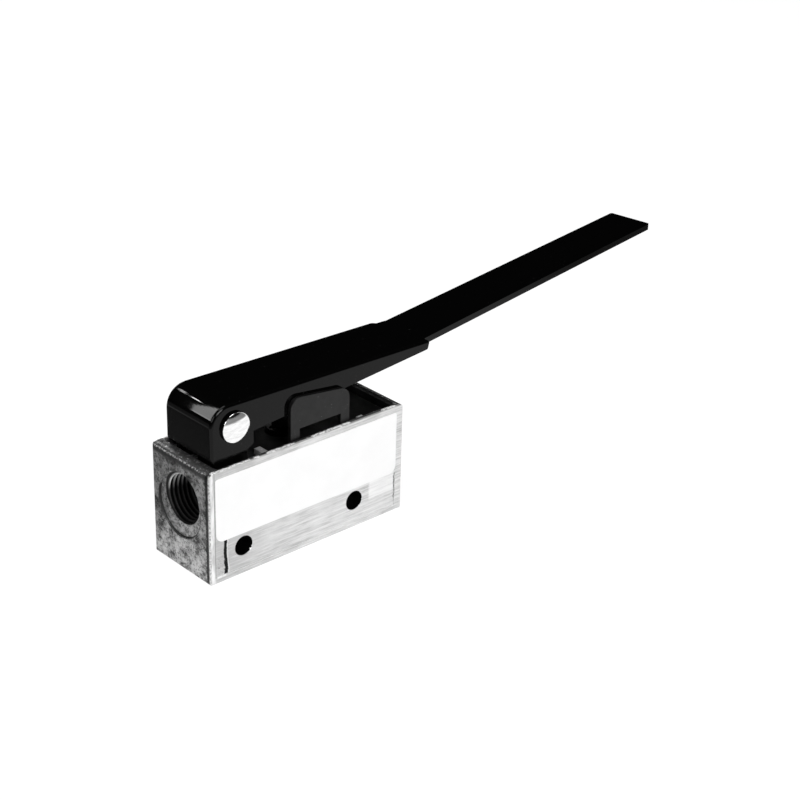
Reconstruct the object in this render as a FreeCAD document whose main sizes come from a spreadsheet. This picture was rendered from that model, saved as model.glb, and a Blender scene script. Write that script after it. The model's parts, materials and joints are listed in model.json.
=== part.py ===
"""Lever-operated three-way pneumatic valve, modelled in millimetres.

The zinc body lies with its base on the XY plane: +X runs along the body towards the
free end of the lever, the label faces -Y and +Z is up.  The spool stands in the middle
of the body, below the lever, and slides down when the lever is pressed.
"""
import FreeCAD, Part
import math
import os
import re
import Sketcher

Vector = FreeCAD.Vector

# Each driving size: name, value in millimetres (degrees for angles), meaning.
SIZES = [
    ("body_length", 44.3, "body along X"),
    ("body_width", 16.5, "body along Y"),
    ("body_height", 21.7, "base to rim"),
    ("body_corner_radius", 0.45, "upright corners of the casting"),
    ("body_edge_bevel", 0.15, "top and bottom outer edges"),
    ("pocket_depth", 2.4, "rim down to the pocket floor"),
    ("left_rim", 2.15, "rim thickness at the inlet end"),
    ("right_rim", 1.4, "rim thickness at the outlet end"),
    ("side_rim", 0.85, "rim thickness along both sides"),
    ("pocket_corner_radius", 0.8, "upright corners of the pocket"),
    ("panel_left_inset", 3.65, "inlet end to the recessed side panel"),
    ("panel_right_inset", 1.85, "outlet end to the recessed side panel"),
    ("panel_bottom", 1.1, "foot below the side panel"),
    ("panel_height", 6.4, "height of the side panel"),
    ("panel_depth", 0.12, "depth of the side panel"),
    ("mount_hole_spacing", 25.4, "between the two cross holes"),
    ("mount_hole_middle", -2.2, "X midway between the cross holes"),
    ("mount_hole_share", 0.584, "cross hole axes, as a share of the height of the ports' lower side"),
    ("mount_hole_diameter", 3.8, "cross holes"),
    ("port_drop", 5.6, "port axes below the pocket floor"),
    ("port_bore_diameter", 8.74, "tap bore of the ports"),
    ("port_mouth_diameter", 10.5, "countersunk mouth of the ports"),
    ("port_depth", 9.5, "end face to the port's flat end"),
    ("port_recess_diameter", 12.0, "shallow recess round the inlet"),
    ("port_recess_side", 0.5, "recess centre off the port, along Y"),
    ("port_recess_drop", 1.5, "recess centre below the port"),
    ("port_recess_depth", 0.35, "depth of that recess"),
    ("stake_width", 1.3, "staked lugs along the rim"),
    ("stake_left_reach", 3.0, "lugs near the pivot, in from the rim"),
    ("stake_reach", 1.2, "other staked lugs in from the rim"),
    ("stake_height", 1.1, "staked lugs above the plate"),
    ("stake_left_share", 0.246, "lugs near the pivot, between the plate's step and the tabs"),
    ("stake_right_share", 0.295, "lugs near the outlet, between the tabs and the rim"),
    ("bore_diameter", 8.4, "upright bore for the cartridge"),
    ("bore_floor", 2.0, "floor below that bore"),
    ("passage_diameter", 2.6, "drillings from the ports to the bore"),
    ("inlet_share", 0.5596, "inlet drilling, as a share of the pocket floor's height"),
    ("outlet_drop", 3.9, "outlet drilling below the pocket floor"),
    ("label_left", 1.25, "inlet end to the label"),
    ("label_right", 2.15, "outlet end to the label"),
    ("label_bottom", 7.6, "base to the label"),
    ("label_top_gap", 0.7, "rim to the label's top edge"),
    ("label_thickness", 0.1, "foil label"),
    ("label_corner_radius", 1.5, "label's corners"),
    ("plate_thickness", 0.8, "bracket's sheet"),
    ("plate_clearance", 0.05, "plate edge to pocket wall"),
    ("plate_step", 4.65, "pin to where the plate widens"),
    ("end_lip_height", 1.4, "turned-up end above the plate"),
    ("tab_left_x", -3.7, "side tabs start"),
    ("tab_right_x", 9.75, "side tabs end"),
    ("tab_left_rise", 9.9, "tab top above the plate, pivot side"),
    ("tab_right_rise", 8.25, "tab top above the plate, outlet side"),
    ("tab_corner_radius", 2.2, "tab's upper corners"),
    ("tab_leg_width", 2.0, "legs beside the tab's window"),
    ("tab_window_bottom", 0.8, "plate to the window"),
    ("tab_window_height", 2.8, "window in each tab"),
    ("relief_width", 0.8, "bend relief notches"),
    ("relief_depth", 1.6, "bend relief notches"),
    ("bend_inner_radius", 0.4, "bends of the bracket"),
    ("ear_front", 3.0, "bracket ears, pin to outlet side"),
    ("ear_top", 2.6, "bracket ears above the pin"),
    ("ear_back_radius", 3.2, "ears' upper corner at the inlet side"),
    ("ear_front_radius", 2.6, "ears' upper corner at the outlet side"),
    ("stop_gap", 0.05, "back of the ears to the lever's back plate"),
    ("pin_inset", 4.75, "inlet side of the pocket to the pivot axis"),
    ("pin_rise", 6.3, "pivot axis above the rim"),
    ("pin_diameter", 3.0, "rivet shank"),
    ("pin_clearance", 0.05, "radial play of the lever on the rivet"),
    ("pin_head_diameter", 5.74, "rivet head"),
    ("pin_head_thickness", 0.9, "rivet head"),
    ("pin_head_bevel", 0.35, "bevelled rims of the rivet"),
    ("pin_tail_diameter", 4.6, "clinched end of the rivet"),
    ("pin_tail_thickness", 0.7, "clinched end of the rivet"),
    ("pin_side_gap", 0.05, "rivet head to the lever"),
    ("spacer_wall", 0.7, "tube between the bracket ears"),
    ("lever_thickness", 1.2, "lever's sheet"),
    ("lever_side_gap", 0.1, "lever flange to ear and to tab"),
    ("lever_back", 5.05, "pin to the outside of the back plate"),
    ("lever_back_radius", 4.0, "outer bend from back plate to web"),
    ("lever_bend_radius", 0.6, "outer bends from web to flanges"),
    ("web_rise_back", 4.48, "web's top above the pin at the back"),
    ("web_rise_front", 3.63, "web's top above the pin at its end"),
    ("web_length", 42.25, "pin to the end of the full-width web"),
    ("back_plate_drop", 5.6, "pin down to the back plate's edge"),
    ("lever_ear_drop", 7.2, "pin down to the lever ears' ends"),
    ("lever_ear_front", 2.7, "pin to the ears' narrow end"),
    ("lever_ear_corner", 2.6, "ears' lower corner at the back, cut off"),
    ("ear_shoulder_drop", 4.4, "pin down to the step in the ears"),
    ("ear_shoulder_height", 0.8, "height of that step"),
    ("flange_start", 4.1, "pin to the flange's lower edge"),
    ("flange_start_drop", 2.05, "pin down to that edge"),
    ("flange_reach", 3.0, "front flange past the end of the web"),
    ("flange_end_chamfer", 0.5, "lean of the flange's free end"),
    ("rear_flange_reach", 0.25, "rear flange past the end of the web"),
    ("rear_flange_lean", 1.1, "lean of that end, seen from above"),
    ("flange_corner_radius", 0.4, "lower corner of the flange's free end"),
    ("flange_end_rise", 1.78, "lower edge above the pin at the end"),
    ("strip_length", 106.75, "pin to the tip's rear corner"),
    ("strip_slant", 1.4, "tip's front corner beyond its rear corner"),
    ("strip_sink", 0.42, "strip's start below the web"),
    ("strip_rise", 11.5, "tip's top above the pin"),
    ("strip_root_inset", 1.1, "strip in from each flange, where it leaves the channel"),
    ("strip_tip_inset", 1.7, "strip in from each flange, at its tip"),
    ("strip_corner_radius", 0.5, "tip's corners"),
    ("travel", 1.5, "spool's stroke"),
    ("button_gap", 0.1, "button's top to the lever's web"),
    ("button_diameter", 5.0, "button under the lever"),
    ("button_height", 2.6, "button under the lever"),
    ("button_flat", 1.2, "flat middle of the button's top"),
    ("button_crown", 0.25, "button's middle above its edge, for the tilting lever"),
    ("button_edge", 0.5, "bevelled rim of the button"),
    ("button_socket_depth", 1.4, "stem inside the button"),
    ("stem_diameter", 3.5, "stem of the spool"),
    ("stem_clearance", 0.08, "stem to guide, radial"),
    ("spool_diameter", 4.2, "flanges of the spool"),
    ("spool_neck_diameter", 2.6, "necks between the flanges"),
    ("spool_flange", 0.5, "thickness of the flanges"),
    ("ring_section", 1.0, "moving seal rings"),
    ("ring_clearance", 0.03, "moving seal rings to the land, radial"),
    ("ring_groove_width", 1.1, "grooves of the moving rings"),
    ("inlet_ring_lift", 0.8, "inlet ring above the inlet undercut"),
    ("balance_ring_drop", 1.1, "lowest ring below the inlet undercut"),
    ("land_diameter", 4.6, "sleeve's inner lands"),
    ("undercut_diameter", 5.9, "sleeve's inner undercuts"),
    ("undercut_height", 2.2, "sleeve's inner undercuts"),
    ("top_land", 0.9, "exhaust land of the sleeve"),
    ("top_collar", 0.8, "sleeve above the exhaust land"),
    ("sleeve_share", 0.2073, "sleeve's lower end, as a share of the pocket floor's height"),
    ("sleeve_clearance", 0.05, "sleeve and bush to the bore, radial"),
    ("sleeve_window", 1.5, "square openings of the sleeve"),
    ("seal_section", 0.8, "rings round the sleeve"),
    ("seal_groove_width", 0.9, "grooves of those rings"),
    ("low_seal_drop", 1.3, "lowest outer ring below the inlet undercut"),
    ("washer_thickness", 0.4, "washer under the spring"),
    ("wire_diameter", 0.5, "return spring"),
    ("spring_clearance", 0.2, "spring to the sleeve, radial"),
    ("spring_turns", 3.5, "return spring"),
    ("spigot_length", 1.0, "spool's end inside the spring"),
    ("spring_seat_gap", 0.02, "spring to its two seats"),
    ("bush_roof", 0.3, "bush's web inside the bore"),
    ("bush_neck_diameter", 5.8, "bush through the plate"),
    ("bush_neck_rise", 1.1, "bush above the plate"),
    ("bush_slot_width", 0.8, "exhaust slots of the bush"),
    ("bush_slot_reach", 2.4, "exhaust slots out from the axis"),
]
NAMES = {name for name, _, _ in SIZES}

# Lengths and places that follow from the sizes, by name.
PLACES = {
    "port_height": "(body_height - pocket_depth - port_drop)",
    "mount_hole_height": "(mount_hole_share * (port_height - port_bore_diameter / 2))",
    "inlet_height": "(inlet_share * (body_height - pocket_depth))",
    "outlet_height": "(body_height - pocket_depth - outlet_drop)",
    "sleeve_bottom": "(sleeve_share * (body_height - pocket_depth))",
    "pin_x": "(left_rim - body_length / 2 + pin_inset)",
    "pin_height": "(body_height + pin_rise)",
    "plate_step_x": "(pin_x + plate_step)",
    "stake_left_x": "(plate_step_x + stake_left_share * (tab_left_x - plate_step_x))",
    "stake_right_x": "(tab_right_x + stake_right_share * (body_length / 2 - right_rim - tab_right_x))",
    "lever_width": "(body_width - 2 * (side_rim + plate_clearance + plate_thickness + lever_side_gap))",
    "strip_root_width": "(lever_width - 2 * strip_root_inset)",
    "strip_tip_width": "(lever_width - 2 * strip_tip_inset)",
}
WORD = re.compile(r"[a-z]\w*")

# Further places, for use inside other formulas.
FLOOR_Z = "(body_height - pocket_depth)"
PLATE_Z = f"({FLOOR_Z} + plate_thickness)"
LEFT_WALL_X = "(left_rim - body_length / 2)"
RIGHT_WALL_X = "(body_length / 2 - right_rim)"
POCKET_HALF = "(body_width / 2 - side_rim)"
PLATE_LEFT_X = f"({LEFT_WALL_X} + plate_clearance)"
PLATE_RIGHT_X = f"({RIGHT_WALL_X} - plate_clearance)"
TAB_OUTER = f"({POCKET_HALF} - plate_clearance)"
EAR_OUTER = "(lever_width / 2 - lever_thickness - lever_side_gap)"
EAR_INNER = f"({EAR_OUTER} - plate_thickness)"
EAR_BACK_X = "(pin_x - lever_back + lever_thickness + stop_gap)"
BACK_X = "(pin_x - lever_back)"
WEB_END_X = "(pin_x + web_length)"
WEB_SLOPE = "((web_rise_front - web_rise_back) / (web_length + lever_back))"
WEB_TOP_AT_BORE = f"(pin_height + web_rise_back + {WEB_SLOPE} * (lever_back - pin_x))"
BUTTON_TOP_Z = f"({WEB_TOP_AT_BORE} - lever_thickness - button_gap)"
INLET_TOP_Z = "(inlet_height + undercut_height / 2)"
INLET_LOW_Z = "(inlet_height - undercut_height / 2)"
OUTLET_TOP_Z = "(outlet_height + undercut_height / 2)"
OUTLET_LOW_Z = "(outlet_height - undercut_height / 2)"
TOP_LAND_Z = f"({OUTLET_TOP_Z} + top_land)"
SLEEVE_TOP_Z = f"({TOP_LAND_Z} + top_collar)"
EXHAUST_RING_Z = f"({OUTLET_TOP_Z} + top_land / 2 + travel)"
INLET_RING_Z = f"({INLET_TOP_Z} + inlet_ring_lift)"
BALANCE_RING_Z = f"({INLET_LOW_Z} - balance_ring_drop)"
SPOOL_END_Z = f"({BALANCE_RING_Z} - ring_groove_width / 2 - 2 * spool_flange)"
SPRING_SEAT_Z = "(bore_floor + washer_thickness)"
RING_RADIUS = "(land_diameter / 2 - ring_clearance - ring_section / 2)"
SEAL_RADIUS = "(bore_diameter / 2 - seal_section / 2)"
TOP_SEAL_Z = f"(({OUTLET_TOP_Z} + {SLEEVE_TOP_Z}) / 2)"
MID_SEAL_Z = "((inlet_height + outlet_height) / 2)"
LOW_SEAL_Z = f"({INLET_LOW_Z} - low_seal_drop)"

doc = FreeCAD.newDocument("LeverValve")
sheet = doc.addObject("Spreadsheet::Sheet", "Sizes")
for row, (name, number, meaning) in enumerate(SIZES, 1):
    sheet.set(f"A{row}", name)
    sheet.set(f"B{row}", str(number))
    sheet.setAlias(f"B{row}", name)
    sheet.set(f"C{row}", meaning)
doc.recompute()


def formula(text):
    """Return text with places spelled out and each size name pointing at its cell."""
    while any(word in PLACES for word in WORD.findall(text)):
        text = WORD.sub(lambda word: PLACES.get(word[0], word[0]), text)
    return WORD.sub(lambda word: "Sizes." + word[0] if word[0] in NAMES else word[0], text)


def size(text):
    """Return the present value of a formula of the sizes."""
    return float(sheet.evalExpression(formula(text)))


def bind(item, prop, text):
    """Tie one property of an object to a formula of the sizes."""
    item.setExpression(prop, formula(text))


def new_body(label):
    body = doc.addObject("PartDesign::Body", label)
    body.Label = label
    return body


def new_sketch(body, role, x="0", y="0", z="0"):
    """Add a sketch on an origin plane of the body, moved by x, y, z in the plane's own axes."""
    sketch = body.newObject("Sketcher::SketchObject", body.Name + "_sketch")
    plane = next(item for item in body.Origin.OriginFeatures if item.Role == role)
    sketch.AttachmentSupport = [(plane, "")]
    sketch.MapMode = "FlatFace"
    for axis, text in (("x", x), ("y", y), ("z", z)):
        if text != "0":
            bind(sketch, "AttachmentOffset.Base." + axis, text)
    return sketch


def place_point(sketch, geometry, point, x, y):
    """Fix a point of the sketch at two formulas."""
    for kind, text in (("DistanceX", x), ("DistanceY", y)):
        number = sketch.addConstraint(Sketcher.Constraint(kind, -1, 1, geometry, point, size(text)))
        bind(sketch, f"Constraints[{number}]", text)


def arc_between(start, end, radius):
    """Arc that leaves start and bends right towards end."""
    chord = end - start
    right = Vector(chord.y, -chord.x, 0).normalize()
    centre = (start + end) * 0.5 + right * math.sqrt(radius ** 2 - chord.Length ** 2 / 4)
    low = math.atan2(end.y - centre.y, end.x - centre.x)
    high = math.atan2(start.y - centre.y, start.x - centre.x)
    if high < low:
        high += 2 * math.pi
    return Part.ArcOfCircle(Part.Circle(centre, Vector(0, 0, 1), radius), low, high)


def outline(sketch, corners):
    """Draw a closed outline through corners given as pairs of formulas.

    A third formula after a corner is the radius of the arc that leaves it, bending right.
    """
    first = sketch.GeometryCount
    count = len(corners)
    points = [Vector(size(corner[0]), size(corner[1]), 0) for corner in corners]
    ends = []
    for index, corner in enumerate(corners):
        start, end = points[index], points[(index + 1) % count]
        if len(corner) == 2:
            sketch.addGeometry(Part.LineSegment(start, end), False)
            ends.append((1, 2))
        else:
            sketch.addGeometry(arc_between(start, end, size(corner[2])), False)
            ends.append((2, 1))
    for index in range(count):
        following = (index + 1) % count
        sketch.addConstraint(Sketcher.Constraint("Coincident", first + index, ends[index][1],
                                                 first + following, ends[following][0]))
    for index, corner in enumerate(corners):
        place_point(sketch, first + index, ends[index][0], corner[0], corner[1])
        if len(corner) == 3:
            number = sketch.addConstraint(
                Sketcher.Constraint("Radius", first + index, size(corner[2])))
            bind(sketch, f"Constraints[{number}]", corner[2])


def at(edge, **place):
    """True if every end of the edge lies at the given x, y or z, y counted either side."""
    for axis, value in place.items():
        for vertex in edge.Vertexes:
            found = getattr(vertex.Point, axis)
            if abs((abs(found) if axis == "y" else found) - value) > 1e-4:
                return False
    return True


def rectangle(sketch, x_low, y_low, x_high, y_high):
    outline(sketch, [(x_low, y_low), (x_high, y_low), (x_high, y_high), (x_low, y_high)])


def circle(sketch, x, y, diameter):
    centre = Vector(size(x), size(y), 0)
    number = sketch.addGeometry(Part.Circle(centre, Vector(0, 0, 1), size(diameter) / 2), False)
    place_point(sketch, number, 3, x, y)
    constraint = sketch.addConstraint(Sketcher.Constraint("Diameter", number, size(diameter)))
    bind(sketch, f"Constraints[{constraint}]", diameter)


def settle(feature):
    """Recompute and make sure that the feature has a sound shape."""
    doc.recompute()
    failed = "Invalid" in feature.State or "Error" in feature.State
    if failed or feature.Shape.isNull() or not feature.Shape.isValid():
        raise RuntimeError(f"{feature.Name} has no sound shape")
    return feature


def pad(body, sketch, length, both_sides=False, reverse=False):
    feature = body.newObject("PartDesign::Pad", body.Name + "_pad")
    feature.Profile = sketch
    feature.Midplane = both_sides
    feature.Reversed = reverse
    bind(feature, "Length", length)
    return settle(feature)


def cut(body, sketch, length, both_sides=False, reverse=False):
    """Pocket the sketch and make sure that it took material away."""
    before = body.Tip.Shape.Volume
    feature = body.newObject("PartDesign::Pocket", body.Name + "_pocket")
    feature.Profile = sketch
    feature.Midplane = both_sides
    feature.Reversed = reverse
    bind(feature, "Length", length)
    if settle(feature).Shape.Volume >= before - 1e-6:
        raise RuntimeError(f"{feature.Name} cuts nothing")
    return feature


def turn(body, sketch, axis, remove=False):
    """Revolve the sketch round its own H_Axis or V_Axis, as a solid or as a groove."""
    kind = "PartDesign::Groove" if remove else "PartDesign::Revolution"
    before = body.Tip.Shape.Volume if remove else 0.0
    feature = body.newObject(kind, body.Name + "_turned")
    feature.Profile = sketch
    feature.ReferenceAxis = (sketch, [axis])
    feature.Angle = 360.0
    settle(feature)
    if remove and feature.Shape.Volume >= before - 1e-6:
        raise RuntimeError(f"{feature.Name} cuts nothing")
    return feature


def dress_edges(body, kind, prop, amount, accept):
    """Fillet or chamfer the edges of the body's tip that accept(edge) picks."""
    base = body.Tip
    names = [f"Edge{n}" for n, edge in enumerate(base.Shape.Edges, 1) if accept(edge)]
    if not names:
        raise RuntimeError(f"no edge to dress on {body.Label}")
    feature = body.newObject(kind, body.Name + "_dressed")
    feature.Base = (base, names)
    bind(feature, prop, amount)
    return settle(feature)


def round_edges(body, radius, accept):
    return dress_edges(body, "PartDesign::Fillet", "Radius", radius, accept)


def bevel_edges(body, width, accept):
    return dress_edges(body, "PartDesign::Chamfer", "Size", width, accept)


def runs_along(edge, axis):
    """True for a straight edge parallel to an axis vector."""
    if edge.Curve.TypeId != "Part::GeomLine":
        return False
    ends = [vertex.Point for vertex in edge.Vertexes]
    return len(ends) == 2 and (ends[1] - ends[0]).cross(axis).Length < 1e-6


def near(value, target):
    return abs(value - target) < 1e-4


AXIS_X = Vector(1, 0, 0)
AXIS_Y = Vector(0, 1, 0)
AXIS_Z = Vector(0, 0, 1)


def build_valve_body():
    """Die-cast body: rim and pocket, two end ports, cross holes and the upright bore."""
    body = new_body("valve_body")
    block = new_sketch(body, "XY_Plane")
    half_x = "body_length / 2"
    half_y = "body_width / 2"
    rectangle(block, f"-{half_x}", f"-{half_y}", half_x, half_y)
    pad(body, block, "body_height")
    round_edges(body, "body_corner_radius", lambda edge: runs_along(edge, AXIS_Z))
    levels = (0.0, size("body_height"))
    bevel_edges(body, "body_edge_bevel", lambda edge: any(at(edge, z=level) for level in levels))

    pocket = new_sketch(body, "XY_Plane", z="body_height")
    rectangle(pocket, LEFT_WALL_X, f"-{POCKET_HALF}", RIGHT_WALL_X, POCKET_HALF)
    cut(body, pocket, "pocket_depth")
    wall_x = (size(LEFT_WALL_X), size(RIGHT_WALL_X))
    round_edges(body, "pocket_corner_radius", lambda edge: runs_along(edge, AXIS_Z)
                and any(at(edge, x=x, y=size(POCKET_HALF)) for x in wall_x))

    for side in ("-", ""):
        panel = new_sketch(body, "XZ_Plane", z=f"{side}body_width / 2")
        rectangle(panel, "panel_left_inset - body_length / 2", "panel_bottom",
                  "body_length / 2 - panel_right_inset", "panel_bottom + panel_height")
        cut(body, panel, "panel_depth", reverse=side == "-")

    holes = new_sketch(body, "XZ_Plane")
    for sign in ("-", "+"):
        circle(holes, f"mount_hole_middle {sign} mount_hole_spacing / 2", "mount_hole_height",
               "mount_hole_diameter")
    cut(body, holes, "body_width + 1", both_sides=True)

    for side in ("-", ""):
        port = new_sketch(body, "XZ_Plane", y="port_height")
        end = "body_length / 2"
        bottom = f"({end} - port_depth)"
        mouth = "port_mouth_diameter / 2"
        bore = "port_bore_diameter / 2"
        outline(port, [(f"{side}{bottom}", "0"), (f"{side}({end} + 1)", "0"),
                       (f"{side}({end} + 1)", f"{mouth} + 1"),
                       (f"{side}({end} - {mouth} + {bore})", bore), (f"{side}{bottom}", bore)])
        turn(body, port, "H_Axis", remove=True)

    recess = new_sketch(body, "YZ_Plane", z="-body_length / 2")
    circle(recess, "port_recess_side", "port_height - port_recess_drop", "port_recess_diameter")
    cut(body, recess, "port_recess_depth", reverse=True)

    upright = new_sketch(body, "XY_Plane", z=FLOOR_Z)
    circle(upright, "0", "0", "bore_diameter")
    cut(body, upright, f"{FLOOR_Z} - bore_floor")
    for side, height in (("-", "inlet_height"), ("", "outlet_height")):
        drilling = new_sketch(body, "YZ_Plane", z=f"{side}(body_length / 2 - port_depth)")
        circle(drilling, "0", height, "passage_diameter")
        cut(body, drilling, "body_length / 2 - port_depth", reverse=side == "-")

    lugs = new_sketch(body, "XY_Plane", z=PLATE_Z)
    for x, length in (("stake_left_x", "stake_left_reach"), ("stake_right_x", "stake_reach")):
        reach = f"({POCKET_HALF} - {length})"
        for side in ("-", ""):
            wall = f"{side}({POCKET_HALF} + side_rim / 2)"
            rectangle(lugs, f"{x} - stake_width / 2", wall, f"{x} + stake_width / 2", f"{side}{reach}")
    rectangle(lugs, f"{LEFT_WALL_X} - left_rim / 2", "-stake_width / 2",
              f"{LEFT_WALL_X} + stake_reach", "stake_width / 2")
    pad(body, lugs, "stake_height")
    return body


def build_label():
    """Blank foil label on the front face."""
    body = new_body("face_label")
    sketch = new_sketch(body, "XZ_Plane", z="body_width / 2")
    rectangle(sketch, "label_left - body_length / 2", "label_bottom",
              "body_length / 2 - label_right", "body_height - label_top_gap")
    pad(body, sketch, "label_thickness")
    round_edges(body, "label_corner_radius", lambda edge: runs_along(edge, AXIS_Y))
    return body


def build_bracket():
    """Sheet-steel bracket: plate in the pocket, pivot ears, guide tabs and end lip."""
    body = new_body("bracket")
    plan = new_sketch(body, "XY_Plane", z=FLOOR_Z)
    outline(plan, [(PLATE_LEFT_X, f"-{EAR_OUTER}"), ("plate_step_x", f"-{EAR_OUTER}"),
                   ("plate_step_x", f"-{TAB_OUTER}"), (PLATE_RIGHT_X, f"-{TAB_OUTER}"),
                   (PLATE_RIGHT_X, TAB_OUTER), ("plate_step_x", TAB_OUTER),
                   ("plate_step_x", EAR_OUTER), (PLATE_LEFT_X, EAR_OUTER)])
    pad(body, plan, "plate_thickness")

    ears = new_sketch(body, "XZ_Plane")
    ear_top = "pin_height + ear_top"
    rectangle(ears, EAR_BACK_X, FLOOR_Z, "pin_x + ear_front", ear_top)
    pad(body, ears, f"2 * {EAR_OUTER}", both_sides=True)
    between_ears = new_sketch(body, "XZ_Plane")
    rectangle(between_ears, f"{EAR_BACK_X} - 1", PLATE_Z, "pin_x + ear_front + 1", f"{ear_top} + 1")
    cut(body, between_ears, f"2 * {EAR_INNER}", both_sides=True)

    tabs = new_sketch(body, "XZ_Plane")
    outline(tabs, [("tab_left_x", FLOOR_Z), ("tab_right_x", FLOOR_Z),
                   ("tab_right_x", f"{PLATE_Z} + tab_right_rise"),
                   ("tab_left_x", f"{PLATE_Z} + tab_left_rise")])
    pad(body, tabs, f"2 * {TAB_OUTER}", both_sides=True)
    between_tabs = new_sketch(body, "XZ_Plane")
    rectangle(between_tabs, "tab_left_x - 1", PLATE_Z, "tab_right_x + 1",
              f"{PLATE_Z} + tab_left_rise + 1")
    cut(body, between_tabs, f"2 * ({TAB_OUTER} - plate_thickness)", both_sides=True)

    lip = new_sketch(body, "XZ_Plane")
    rectangle(lip, f"{PLATE_RIGHT_X} - plate_thickness", FLOOR_Z, PLATE_RIGHT_X,
              f"{PLATE_Z} + end_lip_height")
    pad(body, lip, f"2 * {TAB_OUTER}", both_sides=True)

    notches = new_sketch(body, "XY_Plane", z=PLATE_Z)
    notch_reach = f"({TAB_OUTER} - relief_depth)"
    for side in ("-", ""):
        rectangle(notches, "tab_left_x - relief_width", f"{side}({TAB_OUTER} + 1)",
                  "tab_left_x", f"{side}{notch_reach}")
        rectangle(notches, "tab_right_x", f"{side}({TAB_OUTER} + 1)",
                  "tab_right_x + relief_width", f"{side}{notch_reach}")
    cut(body, notches, "plate_thickness")

    windows = new_sketch(body, "XZ_Plane")
    window_low = f"({PLATE_Z} + tab_window_bottom)"
    rectangle(windows, "tab_left_x + tab_leg_width", window_low, "tab_right_x - tab_leg_width",
              f"{window_low} + tab_window_height")
    cut(body, windows, "body_width", both_sides=True)
    pivot = new_sketch(body, "XZ_Plane")
    circle(pivot, "pin_x", "pin_height", "pin_diameter")
    cut(body, pivot, "body_width", both_sides=True)
    opening = new_sketch(body, "XY_Plane", z=PLATE_Z)
    circle(opening, "0", "0", "bush_neck_diameter + 2 * sleeve_clearance")
    cut(body, opening, "plate_thickness")

    round_edges(body, "pocket_corner_radius - plate_clearance", lambda edge: runs_along(edge, AXIS_Z)
                and at(edge, x=size(PLATE_RIGHT_X), y=size(TAB_OUTER)))
    ear_level = size(ear_top)
    for x, radius in ((EAR_BACK_X, "ear_back_radius"), ("pin_x + ear_front", "ear_front_radius")):
        round_edges(body, radius, lambda edge: runs_along(edge, AXIS_Y)
                    and at(edge, x=size(x), z=ear_level))
    tab_tops = [(size("tab_left_x"), size(f"{PLATE_Z} + tab_left_rise")),
                (size("tab_right_x"), size(f"{PLATE_Z} + tab_right_rise"))]
    round_edges(body, "tab_corner_radius", lambda edge: runs_along(edge, AXIS_Y)
                and any(at(edge, x=x, z=z) for x, z in tab_tops))
    inner_bends = (size(f"{TAB_OUTER} - plate_thickness"), size(EAR_INNER))
    round_edges(body, "bend_inner_radius", lambda edge: runs_along(edge, AXIS_X)
                and any(at(edge, y=y, z=size(PLATE_Z)) for y in inner_bends))
    round_edges(body, "bend_inner_radius + plate_thickness / 2", lambda edge: runs_along(edge, AXIS_X)
                and at(edge, y=size(TAB_OUTER), z=size(FLOOR_Z))
                and near(min(v.X for v in edge.Vertexes), size("tab_left_x")))
    return body


def build_pin():
    """Rivet through both lever flanges and both bracket ears, head to the front."""
    body = new_body("pivot_pin")
    sketch = new_sketch(body, "XY_Plane", x="pin_x", z="pin_height")
    shank = "pin_diameter / 2"
    front = "(-lever_width / 2 - pin_side_gap)"
    rear = "(lever_width / 2 + pin_side_gap)"
    head = "pin_head_diameter / 2"
    tail = "pin_tail_diameter / 2"
    head_face = f"{front} - pin_head_thickness"
    tail_face = f"{rear} + pin_tail_thickness"
    outline(sketch, [("0", head_face),
                     (f"{head} - pin_head_bevel", head_face),
                     (head, f"{head_face} + pin_head_bevel"),
                     (head, front), (shank, front), (shank, rear), (tail, rear),
                     (tail, f"{tail_face} - pin_head_bevel"),
                     (f"{tail} - pin_head_bevel", tail_face),
                     ("0", tail_face)])
    turn(body, sketch, "V_Axis")
    return body


def build_spacer():
    """Tube on the rivet that keeps the bracket ears apart."""
    body = new_body("pivot_spacer")
    sketch = new_sketch(body, "XZ_Plane")
    circle(sketch, "pin_x", "pin_height", "pin_diameter + 2 * spacer_wall")
    circle(sketch, "pin_x", "pin_height", "pin_diameter")
    pad(body, sketch, f"2 * {EAR_INNER}", both_sides=True)
    return body


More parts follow.
